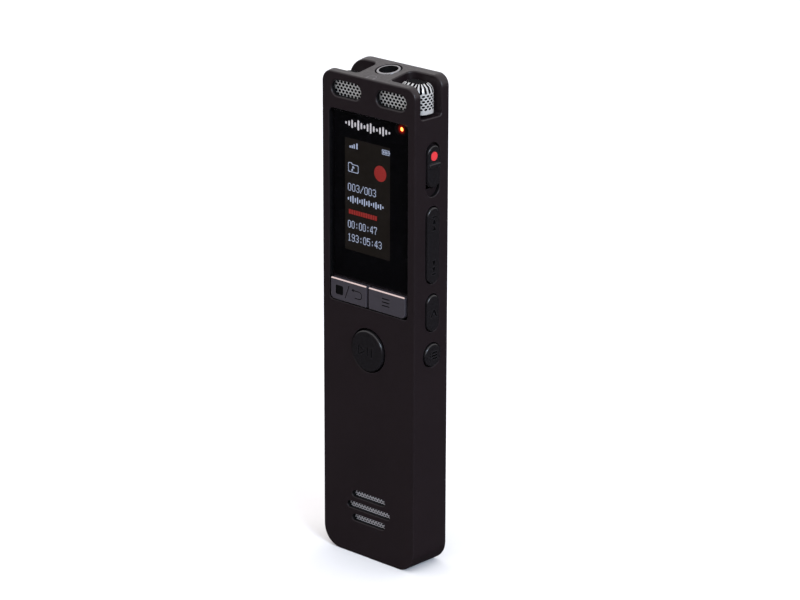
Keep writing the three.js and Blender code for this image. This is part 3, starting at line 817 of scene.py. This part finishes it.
def cut_front(body):
    """The play button's hole, the two grilles, the loudspeaker's slots and the display's recess."""
    holes = [face_hole(0, PLAY["z"], PLAY["hole"], PLAY["hole"], PLAY["hole"] / 2, FRONT + 2.3, 0.14, 12)]
    for side in (-1, 1):
        holes.append(face_hole(side * 5.8, 93.35, 7.7, 3.1, 1.55, FRONT + 1.05, 0.3, 10))
    for z, length in SLOTS:
        holes.append(face_hole(0, z, length, 1.4, 0.7, FRONT + 1.0, 0.12))
    height = RECESS["high"] - RECESS["low"]
    recess_z = (RECESS["high"] + RECESS["low"]) / 2
    holes.append(face_hole(0, recess_z, 2 * RECESS["half"], height, 0.9, RECESS["floor"], 0.1))
    cut(body, *holes)


def cut_side(body):
    """The slider's track, and a hole for each of the other controls."""
    holes = [side_hole(TRACK["z"], TRACK["width"], TRACK["length"], SIDE - 0.8)]
    for z, width, height in SIDE_CAPS.values():
        holes.append(side_hole(z, width + SIDE_GAP, height + SIDE_GAP, SIDE - 1.4))
    cut(body, *holes)


def cut_ends(body):
    """The headphone socket's hole in the top, and the charging socket's in the foot."""
    top_rings = hole_rings(disc(0, JACK_Y, 5.2, 10), TOP, 94.9, 0.12)
    usb_y = middle(*span("usb_port"))[1]
    foot_rings = hole_rings(profile(0, usb_y, 9.54, 3.76, 1.88, 10), 0.0, 1.5, 0.15)
    cut(body, slope_top(loft("hole", "XY", top_rings)), loft("hole", "XY", foot_rings))


def cut_inside(body):
    """The hollow, the seat of the back cover, and room for what stands behind the front."""
    cut(body, plain("XZ", 0, 45.05, 21.6, 87.7, (3, 1, 1, 3), INNER_FRONT, BACK + 1))
    seat = cover_profile(COVER_SEAT_GAP, 3.5, 1.5)
    cut(body, loft("hole", "XZ", hole_rings(seat, BACK, COVER_LOW.y - 0.1, 0.08)))
    room = [plain("XZ", s * 5.85, 93.2, 8.9, 4.8, 0.1, FRONT + 1.0, BAY["front"] + 0.05) for s in (-1, 1)]
    room.append(plain("XY", 0, 0.9, 6.6, 5.0, 0.1, 86.5, 95.1))
    cut(body, *room)
    near, far = RECESS["floor"] - 0.1, INNER_FRONT + 0.1
    display_room = plain("XZ", -1.55, 71.55, 14.1, 26.3, 0.1, near, far)
    lamp_room = rod("XZ", 7.7, 88.1, 1.5, near, far)
    stem_rooms = [plain("XZ", side * STEM["x"], STEM["z"], 4.2, 2.6, 0.1, near, far) for side in (1, -1)]
    speaker_room = plain("XZ", 0, 10.1, 15.2, 11.2, 0.2, FRONT + 0.9, far)
    neck_slot = plain("YZ", SIDE_Y, 80.625, 2.6, 8.15, 0.1, SIDE - 1.3, SIDE - 0.7)
    cut(body, display_room, lamp_room, *stem_rooms, speaker_room, neck_slot)


housing = solid_body()
cut_bays(housing)
cut_front(housing)
cut_side(housing)
cut_ends(housing)
cut_inside(housing)
finish(housing, "shell", "housing")

# ---- Back cover and its screws ----


def screw(name):
    """A screw with a round head and a cross cut in it."""
    low, high = span(name)
    x, _, z = middle(low, high)
    head = loft(name + "_head", "XZ", cap_rings(disc(x, z, 2.2), high.y - 0.5, high.y, 0.14))
    combine(head, rod("XZ", x, z, 1.0, low.y, high.y - 0.45), "UNION")
    for width, height in ((1.3, 0.3), (0.3, 1.3)):
        combine(head, plain("XZ", x, z, width, height, 0.05, high.y - 0.3, high.y + 0.2))
    finish(head, "screws", name, material=SCREW)


cover_rings = cap_rings(cover_profile(0, 3.2, 1.2), COVER_LOW.y, BACK, 0.14)
cover = loft("back_cover_panel", "XZ", cover_rings, COVER)
screws = [name for name in frame["nodes"] if name.startswith("cover_screw_")]
places = [middle(*span(name)) for name in screws]
cut(cover, *[loft("sink", "XZ", hole_rings(disc(x, z, 2.8), BACK, BACK - 0.7, 0.1)) for x, _, z in places])
cut(cover, *[rod("XZ", x, z, 1.6, BACK - 1.6, BACK - 0.6) for x, _, z in places])
finish(cover, "shell", "back_cover")
for name in screws:
    screw(name)

# ---- Display ----

ACTIVE = {"x": -1.08, "z": 72.85, "width": 11.75, "height": 22.1}
WINDOW_LOW, WINDOW_HIGH = span("display_window")
LAMP_LOW, LAMP_HIGH = span("led_light_pipe")
LAMP_X, _, LAMP_Z = middle(LAMP_LOW, LAMP_HIGH)
LAMP_HOLE = 0.84
PANEL_Y = WINDOW_HIGH.y + 0.1
DOT_LEVELS = (PANEL_Y - 0.05, PANEL_Y - 0.031)


def window():
    """The glass, and a black mask behind it that leaves the lit area and the lamp clear."""
    width, height = WINDOW_HIGH.x - WINDOW_LOW.x, WINDOW_HIGH.z - WINDOW_LOW.z
    shape = profile(0, middle(WINDOW_LOW, WINDOW_HIGH)[2], width, height, 0.7, 6)
    glass = loft("window_pane", "XZ", cap_rings(shape, WINDOW_HIGH.y, WINDOW_LOW.y, 0.06, 2), GLASS)
    finish(glass, "window", "display_window")
    mask_rings = [(WINDOW_HIGH.y + gap, shape(-0.05)) for gap in (0.02, 0.06)]
    mask = loft("window_ink", "XZ", mask_rings, MASK)
    near, far = WINDOW_HIGH.y - 1, WINDOW_HIGH.y + 1
    lit_area = plain("XZ", ACTIVE["x"], ACTIVE["z"], ACTIVE["width"], ACTIVE["height"], 0.1, near, far)
    cut(mask, lit_area, rod("XZ", LAMP_X, LAMP_Z, LAMP_HOLE, near, far))
    finish(mask, "window", material=MASK, ease=False)


def lit_panel():
    """The display's body, with its lit area as a thin sheet on the front."""
    low, high = span("display_module")
    panel = block("display_panel", (low.x, PANEL_Y, low.z), high, 0.04, MOULDED)
    finish(panel, "display", "display_module")
    width, height = ACTIVE["width"] + 0.3, ACTIVE["height"] + 0.3
    lit = plain("XZ", ACTIVE["x"], ACTIVE["z"], width, height, 0.05, PANEL_Y - 0.03, PANEL_Y)
    finish(lit, "display", material=PANEL, ease=False)


window()
lit_panel()

# Figures and symbols, each as rows of dots from the top down. A 1 is a lit dot.
GLYPHS = {
    "0": "01110 10001 10001 10001 10001 10001 10001 10001 01110",
    "1": "00100 01100 00100 00100 00100 00100 00100 00100 01110",
    "3": "01110 10001 00001 00001 00110 00001 00001 10001 01110",
    "4": "00010 00110 01010 01010 10010 10010 11111 00010 00010",
    "5": "11111 10000 10000 11110 10001 00001 00001 10001 01110",
    "7": "11111 10001 00001 00010 00010 00100 00100 00100 00100",
    "9": "01110 10001 10001 10001 01111 00001 00001 10001 01110",
    ":": "00000 00000 00100 00100 00000 00000 00100 00100 00000",
    "/": "00001 00001 00010 00010 00100 01000 01000 10000 10000",
}
ICONS = {
    "level": """
        0000000000011
        0000000000011
        0000000110011
        0000000110011
        0000110110011
        0110110110011
        0110110110011
        0110110110011
    """,
    "battery": """
        0111111111111110
        0100000000000010
        0101101101101010
        0101101101101011
        0101101101101011
        0101101101101010
        0100000000000010
        0111111111111110
    """,
    "folder": """
        01111110000000000000
        11000011000000000000
        10000001111111111110
        10000000000000000011
        10000000000000000001
        10000000111000000001
        10000000111100000001
        10000000101100000001
        10000000100000000001
        10000001100000000001
        10000011100000000001
        10000011100000000001
        11000000000000000011
        01111111111111111110
    """,
}
# Heights of the bars of two sound waves: on the display, and printed above it.
WAVE = (0.35, 0.7, 1.0, 0.55, 0.85, 0.4, 0.65, 0.95, 0.5, 0.8, 0.3, 0.6, 0.9, 0.45, 0.7, 0.25)
PRINTED_WAVE = (0.25, 0.5, 0.8, 0.45, 1.0, 0.6, 0.35, 0.75, 1.0, 0.55, 0.3, 0.65, 0.9, 0.5, 0.25)


def pixels(rows, left, top, wide, tall):
    """A thin raised bar for each run of lit pixels in each row."""
    bars = []
    for j, row in enumerate(rows.split()):
        start = None
        for i, lit_cell in enumerate(row + "0"):
            if lit_cell == "1" and start is None:
                start = i
            elif lit_cell == "0" and start is not None:
                x0, x1 = left + start * wide, left + i * wide
                z1, z0 = top - j * tall, top - (j + 1) * tall
                bars.append((x0, x1 - 0.12 * wide, z0 + 0.06 * tall, z1 - 0.06 * tall))
                start = None
    return bars


def draw(name, bars, material):
    """All the bars of one colour, as thin closed plates on the panel."""
    bm = bmesh.new()
    for x0, x1, z0, z1 in bars:
        corners = [(x, y, z) for x in (x0, x1) for y in DOT_LEVELS for z in (z0, z1)]
        v = [bm.verts.new(Vector(c) * MM) for c in corners]
        for side in ((0, 1, 3, 2), (4, 6, 7, 5), (0, 4, 5, 1), (2, 3, 7, 6), (0, 2, 6, 4), (1, 5, 7, 3)):
            bm.faces.new([v[i] for i in side])
    bmesh.ops.recalc_face_normals(bm, faces=bm.faces)
    finish(object_from(bm, name), "display", material=material, ease=False, angle=1)


def text(line, left, top, advance, tall):
    """A line of figures, from the left end of its top edge."""
    bars = []
    for i, letter in enumerate(line):
        bars += pixels(GLYPHS[letter], left + i * advance, top, advance * 0.16, tall / 9)
    return bars


pale = text("003/003", -6.18, 75.05, 1.075, 1.5)
pale += text("00:00:47", -6.2, 67.7, 0.97, 1.5)
pale += text("193:05:43", -6.2, 65.08, 1.0, 1.5)
pale += pixels(ICONS["battery"], 2.55, 83.3, 0.137, 0.12)
pale += pixels(ICONS["folder"], -6.1, 79.17, 0.135, 0.135)
pale += pixels(ICONS["level"], -5.9, 83.15, 0.175, 0.14)
for i, share in enumerate(WAVE):
    x = -6.2 + i * 0.6
    pale.append((x, x + 0.27, 71.95 - 0.75 * share, 71.95 + 0.75 * share))
draw("screen_pale", pale, PIXEL)
red = [(-5.95 + i * 0.62, -5.95 + i * 0.62 + 0.5, 69.0, 69.9) for i in range(12)]
draw("screen_red_bar", red, PIXEL_RED)
red_disc = disc(2.23, 78.43, 3.1, 10)(0)
record_mark = loft("screen_red_disc", "XZ", [(level, red_disc) for level in DOT_LEVELS])
finish(record_mark, "display", material=PIXEL_RED, ease=False)


def window_print():
    """A plain row of bars, printed on the window above the display."""
    bars = []
    for i, share in enumerate(PRINTED_WAVE):
        shape = outline(-6.6 + i * 0.8, 86.78, 0.42, 2 * share, 0.2, 0, 3)
        bars.append(loft("bar", "XZ", [(PANEL_Y - 0.075, shape), (PANEL_Y - 0.085, shape)]))
    finish(join("window_print", bars), "window", material=PRINT, ease=False)


def lamp():
    """The end of the light pipe, and the painted glow round it on the mask."""
    dome_rings = cap_rings(disc(LAMP_X, LAMP_Z, 0.8, 6), LAMP_HIGH.y, PANEL_Y - 0.04, 0.2, 3)
    finish(loft("lamp_dome", "XZ", dome_rings), "indicator", "led_light_pipe", material=LAMP)
    centre = Vector((LAMP_X, PANEL_Y - 0.09, LAMP_Z)) * MM
    halo = halo_material("lamp_halo", centre, 1.15 * MM, (1.0, 0.02, 0.01), 0.8)
    shape = outline(LAMP_X, LAMP_Z, 3.6, 2.4, 1.2, 0, 10)
    glow = loft("lamp_glow", "XZ", [(PANEL_Y - 0.088, shape), (PANEL_Y - 0.082, shape)])
    cut(glow, rod("XZ", LAMP_X, LAMP_Z, LAMP_HOLE, PANEL_Y - 1, PANEL_Y + 1, 8))
    finish(glow, "indicator", material=halo, ease=False)


window_print()
lamp()

# ---- Keys ----

KEY_NEAR, KEY_FAR = 0.3, 9.7
KEY_LOW, KEY_HIGH = 51.6, 55.85
KEY_SLOPE = 0.2
KEY_MARK_DEPTH = 0.09


def key(node, side, shapes, body):
    """A key with a polished slope along its top edge, marks on its face, and a stem with a foot."""
    low, high = span(node)
    left, right = sorted((side * KEY_NEAR, side * KEY_FAR))
    corners = (0.95, 0.3, 0.2, 0.2) if side > 0 else (0.2, 0.2, 0.3, 0.95)
    centre = ((left + right) / 2, (KEY_LOW + KEY_HIGH) / 2)
    shape = profile(*centre, right - left, KEY_HIGH - KEY_LOW, corners, 6)
    piece = loft(node + "_cap", "XZ", cap_rings(shape, RECESS["floor"] - 0.3, low.y, 0.16), KEY)
    above = KEY_HIGH + 1
    slope = [(low.y - 1, above), (low.y - 1, KEY_HIGH - KEY_SLOPE - 1), (low.y + KEY_SLOPE + 1, above)]
    cut(piece, loft("wedge", "YZ", [(left - 1, slope), (right + 1, slope)], KEY_EDGE))
    engrave(piece, "XZ", low.y, KEY_MARK_DEPTH, shapes)
    x, z = side * STEM["x"], STEM["z"]
    combine(piece, plain("XZ", x, z, 3.4, 1.9, 0.1, RECESS["floor"] - 0.4, high.y), "UNION")
    combine(piece, plain("XZ", x, z, 5.4, 3.6, 0.2, high.y - 0.35, high.y), "UNION")
    return finish(piece, "keys", node, body=body)


bend = [math.radians(a) for a in range(0, 181, 15)]
turn = [(-2.2 + 0.73 * math.sin(a), 53.6 + 0.73 * math.cos(a)) for a in bend]
back_arrow = stroke([(-3.85, 54.33)] + turn + [(-3.35, 52.87)], 0.2)
arrow_head = [(-3.6, 54.7), (-4.2, 54.33), (-3.6, 53.96)]
stop_marks = [
    outline(-7.37, 53.63, 2.0, 1.85, 0.35, 0, 4),
    stroke([(-5.84, 52.3), (-4.8, 55.0)], 0.2),
    back_arrow,
]
stop_key = key("stop_key", -1, stop_marks, "stop")
engrave(stop_key, "XZ", span("stop_key")[0].y, KEY_MARK_DEPTH, [arrow_head])
menu_marks = [outline(4.79, 53.8 + dz, 2.0, 0.26, 0.1, 0, 3) for dz in (-0.7, 0, 0.7)]
key("menu_key", 1, menu_marks, "menu")

# ---- Play button ----

low, high = span("play_button")
play_rings = cap_rings(disc(0, PLAY["z"], PLAY["cap"], 14), FRONT + 2.5, low.y, 0.36, 5)
play = loft("play_button_cap", "XZ", play_rings, CONTROL)
marks = [
    stroke([(-2.05, 41.95), (-2.05, 43.85)], 0.22),
    stroke([(-2.05, 43.8), (-0.5, 42.9)], 0.2),
    stroke([(-2.05, 42.0), (-0.5, 42.9)], 0.2),
    outline(0.2, 42.88, 0.26, 1.9, 0.06, 0, 2),
    outline(1.25, 42.88, 0.26, 1.9, 0.06, 0, 2),
]
for mark in marks:
    engrave(play, "XZ", low.y, 0.12, [mark])
combine(play, rod("XZ", 0, PLAY["z"], 9.6, high.y - 0.35, high.y, 10), "UNION")
finish(play, "controls", "play_button", body="play")

# ---- Side controls ----


def side_control(node, shapes, body):
    """A cap with marks sunk into its face, and a flange behind that keeps it in."""
    low, high = span(node)
    z, width, height = SIDE_CAPS[node]
    shape = profile(SIDE_Y, z, width, height, width / 2, 10)
    piece = loft(node + "_cap", "YZ", cap_rings(shape, SIDE - 1.7, high.x, 0.3, 5), CONTROL)
    for mark in shapes:
        engrave(piece, "YZ", high.x, -0.2, [mark])
    flange = outline(SIDE_Y, z, 4.5 if height > width else 5.3, height + 0.9, 2.6, 0, 8)
    combine(piece, loft("flange", "YZ", [(low.x, flange), (low.x + 0.35, flange)]), "UNION")
    finish(piece, "controls", node, body=body)


def skip_mark(z, way):
    """Two triangles and a bar, pointing along the side."""
    y, half = SIDE_Y, 0.5
    shapes = []
    for start in (-1.45, -0.2):
        base, tip = z + way * start, z + way * (start + 1.1)
        shapes.append([(y - half, base), (y + half, base), (y, tip)])
    shapes.append(outline(y, z + way * 1.2, 2 * half, 0.24, 0.05, 0, 2))
    return shapes


def record_slider():
    """A cap with a groove, a ridge and a seat for its dot, on a neck with a plate and a fork."""
    low, high = span("record_slider")
    face_x = SIDE + 0.4
    cap = cap_rings(profile(SIDE_Y, 80.975, 3.4, 8.15, 1.7, 10), SIDE - 0.6, face_x, 0.25)
    slide = loft("record_slider_cap", "YZ", cap, CONTROL)
    cut(slide, plain("YZ", SIDE_Y, 81.9, 2.6, 0.34, 0.15, face_x - 0.12, face_x + 1))
    ridge = cap_rings(profile(SIDE_Y, 81.25, 3.15, 0.8, 0.38, 6), face_x - 0.2, high.x, 0.16)
    combine(slide, loft("ridge", "YZ", ridge), "UNION")
    cut(slide, rod("YZ", SIDE_Y, 83.0, 1.96, face_x - 0.45, face_x + 1, 8))
    plate_x = low.x + 0.45
    neck = plain("YZ", SIDE_Y, 81.425, 2.0, 5.95, 0.04, plate_x, SIDE - 0.5, 2)
    plate = plain("YZ", SIDE_Y, 82.225, 3.4, 8.55, 0.04, plate_x, low.x + 0.8, 2)
    fork = [plain("YZ", 0.75, z, 1.3, 0.65, 0.04, low.x, low.x + 0.55, 2) for z in (79.275, 81.825)]
    for inner_part in (neck, plate, *fork):
        combine(slide, inner_part, "UNION")
    finish(slide, "controls", "record_slider", body="record_slide")


side_control("skip_rocker", skip_mark(70.0, 1) + skip_mark(61.2, -1), "rocker")
chevron = [stroke([(SIDE_Y + dy, 51.55), (SIDE_Y + 0.1, 52.85)], 0.3) for dy in (-0.62, 0.82)]
side_control("side_button", chevron, "side")
list_marks = []
for dz in (-0.58, 0, 0.58):
    list_marks.append(outline(SIDE_Y + 0.3, 43.7 + dz, 1.5, 0.28, 0.06, 0, 2))
    list_marks.append(outline(SIDE_Y - 0.85, 43.7 + dz, 0.32, 0.28, 0.06, 0, 2))
side_control("list_button", list_marks, "list")
record_slider()
low, high = span("slider_dot")
dot_rings = cap_rings(disc(SIDE_Y, middle(low, high)[2], 1.76), low.x, high.x, 0.08, 3)
dot = loft("slider_dot_inlay", "YZ", dot_rings)
finish(dot, "red_mark", "slider_dot", body="record_slide", material=RED)

# ---- Microphones ----

CAGE_RADIUS = 2.1
CAGE_SHOULDER = 1.7


def lining_dome(side, inset):
    """A solid that stands inside a cage, an even distance from it."""
    low, high = span("mic_cage_" + side)
    x, y, _ = middle(low, high)
    width, depth = high.x - low.x - 2 * inset, high.y - low.y - 2 * inset
    shape = profile(x, y, width, depth, CAGE_RADIUS - inset, 6)
    rings = cap_rings(shape, low.z + 0.02, high.z - inset, CAGE_SHOULDER - inset, 5)
    return loft("cage_lining_" + side, "XY", rings, CLOTH_AND_PAINTED_SHADE)


def microphone(side):
    """A cage, and a thin black lining in it that is open underneath."""
    low, high = span("mic_cage_" + side)
    x, y, _ = middle(low, high)
    mesh_cap = cage("mic_cage_mesh_" + side, low, high, CAGE_RADIUS, CAGE_SHOULDER)
    finish(mesh_cap, "mesh_metal", "mic_cage_" + side, angle=40)
    lining = lining_dome(side, 0.27)
    cut(lining, lining_dome(side, 0.36))
    cut(lining, plain("XY", x, y, 9, 9, 0.1, low.z - 1, low.z + 0.05))
    finish(lining, "mesh_metal", material=CLOTH_AND_PAINTED_SHADE)


def front_grille(side):
    """A perforated sheet behind a slot in the front, with black cloth behind it."""
    low, high = span("front_grille_" + side)
    name = "front_grille_mesh_" + side
    corners = ((low.x, low.z), (high.x, high.z))
    pitch = (high.x - low.x) / 9.001
    sheet = flat_sheet(name, *corners, low.y + 0.04, 0.12, pitch, 0.6, (0.68, 0.53), MESH)
    finish(sheet, "mesh_metal", "front_grille_" + side, angle=40)
    cloth = block("grille_cloth_" + side, (low.x, high.y - 0.1, low.z), high, 0.02, CLOTH_AND_PAINTED_SHADE)
    finish(cloth, "mesh_metal", material=CLOTH_AND_PAINTED_SHADE)


for side in ("left", "right"):
    microphone(side)
    front_grille(side)

# ---- Headphone jack ----

JACK_BORE = 3.6
RING_FOOT = 94.4


def headphone_jack():
    """The socket's body, and the ring round its bore, which follows the sloping top."""
    low, high = span("headphone_jack")
    jack = block("jack_body", (low.x, -1.2, low.z), (high.x, 3.1, RING_FOOT), 0.1, JACK_BODY)
    combine(jack, rod("XY", 0, JACK_Y, JACK_BORE, low.z + 1, 96, 10))
    ring_rings = cap_rings(disc(0, JACK_Y, 4.6, 12), RING_FOOT, TOP, 0.14, 3)
    bushing = slope_top(loft("bushing", "XY", ring_rings, JACK_RING))
    # The bore's walls take the near-black painted shade.
    bore_rings = hole_rings(disc(0, JACK_Y, JACK_BORE, 12), TOP, 93.0, 0.1)
    combine(bushing, slope_top(loft("bore", "XY", bore_rings, PAINTED_SHADE)))
    combine(jack, bushing, "UNION")
    finish(jack, "jack_plastic", "headphone_jack")


def headphone_symbol():
    """A band with an ear pad at each end, printed on the top in front of the socket."""
    half_turn = [math.radians(a) for a in range(0, 181, 15)]
    band = [(0.95 * math.cos(a), -3.75 + 0.95 * math.sin(a)) for a in half_turn]
    pads = [outline(x, -3.95, 0.36, 0.62, 0.12, 0, 3) for x in (-0.85, 0.85)]
    shapes = [stroke(band, 0.13), *pads]
    parts = [loft("icon", "XY", [(TOP - 0.03, points), (TOP + 0.012, points)]) for points in shapes]
    symbol = slope_top(join("headphone_symbol", parts))
    finish(symbol, "jack_plastic", material=FAINT_PRINT, ease=False)


headphone_jack()
headphone_symbol()

# ---- Loudspeaker ----

WEAVE_CORNERS = ((-6.3, 6.5), (6.3, 13.8))
mesh_y = span("speaker_mesh")[0].y
weave = flat_sheet("speaker_weave", *WEAVE_CORNERS, mesh_y, 0.12, 0.74, 0.42, (0.54, 0.31), SPEAKER_MESH, 3)
finish(weave, "mesh_metal", "speaker_mesh", angle=40)

# ---- Floor, light and camera ----

SKY_LEVEL = 1.25
LAMP_LEVEL = 21.0
LAMP_WAY = (0.85, -0.3, 0.5)
LAMP_SPREAD = 12
FLOOR_REACH = 6.0
AZIMUTH, ELEVATION, ROLL = (math.radians(a) for a in (42.983, 18.383, 0.151))
LENS = 144.43
DISTANCE = 0.61433
LOOKED_AT = Vector((2.11, 1.97, 52.1)) * MM

floor_mesh = bpy.data.meshes.new("floor")
floor_corners = [(x * FLOOR_REACH, y * FLOOR_REACH, 0) for x, y in ((-1, -1), (1, -1), (1, 1), (-1, 1))]
floor_mesh.from_pydata(floor_corners, [], [(0, 1, 2, 3)])
floor = new_object("floor", floor_mesh)
floor_mesh.materials.append(
    surface("floor_paper", (0.9, 0.9, 0.9), 0.9, specular=0.1, vary=0.01, mottle=5.0, grain=800.0, bump=0.02)
)
floor.visible_glossy = False

# Light comes evenly from above the table, with one small brighter lamp; below it is dark.
world = bpy.data.worlds.new("studio")
bpy.context.scene.world = world
world.use_nodes = True
tree = world.node_tree
sky = tree.nodes["Background"]
toward = tree.nodes.new("ShaderNodeTexCoord").outputs["Generated"]
axes = tree.nodes.new("ShaderNodeSeparateXYZ")
link(tree, toward, axes.inputs["Vector"])
level = remap(tree, axes.outputs["Z"], 0.02, SKY_LEVEL, -0.02, 0.34)
aim = maths(tree, "VectorMath", "DOT_PRODUCT", toward, Vector(LAMP_WAY).normalized())
lamp_glow = remap(tree, aim, 0.0, LAMP_LEVEL, math.cos(math.radians(LAMP_SPREAD)), 1.0)
link(tree, maths(tree, "Math", "ADD", level, lamp_glow), sky.inputs["Strength"])
warmth = remap(tree, lamp_glow, 0.0, 1.0, 0.0, 1.5)
link(tree, mix(tree, warmth, (1.0, 0.975, 0.99), (0.84, 1.0, 1.24)), sky.inputs["Color"])

away = Vector(
    (
        math.sin(AZIMUTH) * math.cos(ELEVATION),
        -math.cos(AZIMUTH) * math.cos(ELEVATION),
        math.sin(ELEVATION),
    )
)
camera_data = bpy.data.cameras.new("camera")
camera_data.lens = LENS
camera_data.sensor_width = 36.0
camera_data.clip_start = 0.01
camera = bpy.data.objects.new("camera", camera_data)
bpy.context.scene.collection.objects.link(camera)
camera.location = LOOKED_AT + away * DISTANCE
turned = (-away).to_track_quat("-Z", "Y").to_matrix() @ Matrix.Rotation(ROLL, 3, "Z")
camera.rotation_euler = turned.to_euler()
bpy.context.scene.camera = camera
bpy.context.scene.view_settings.view_transform = "Standard"
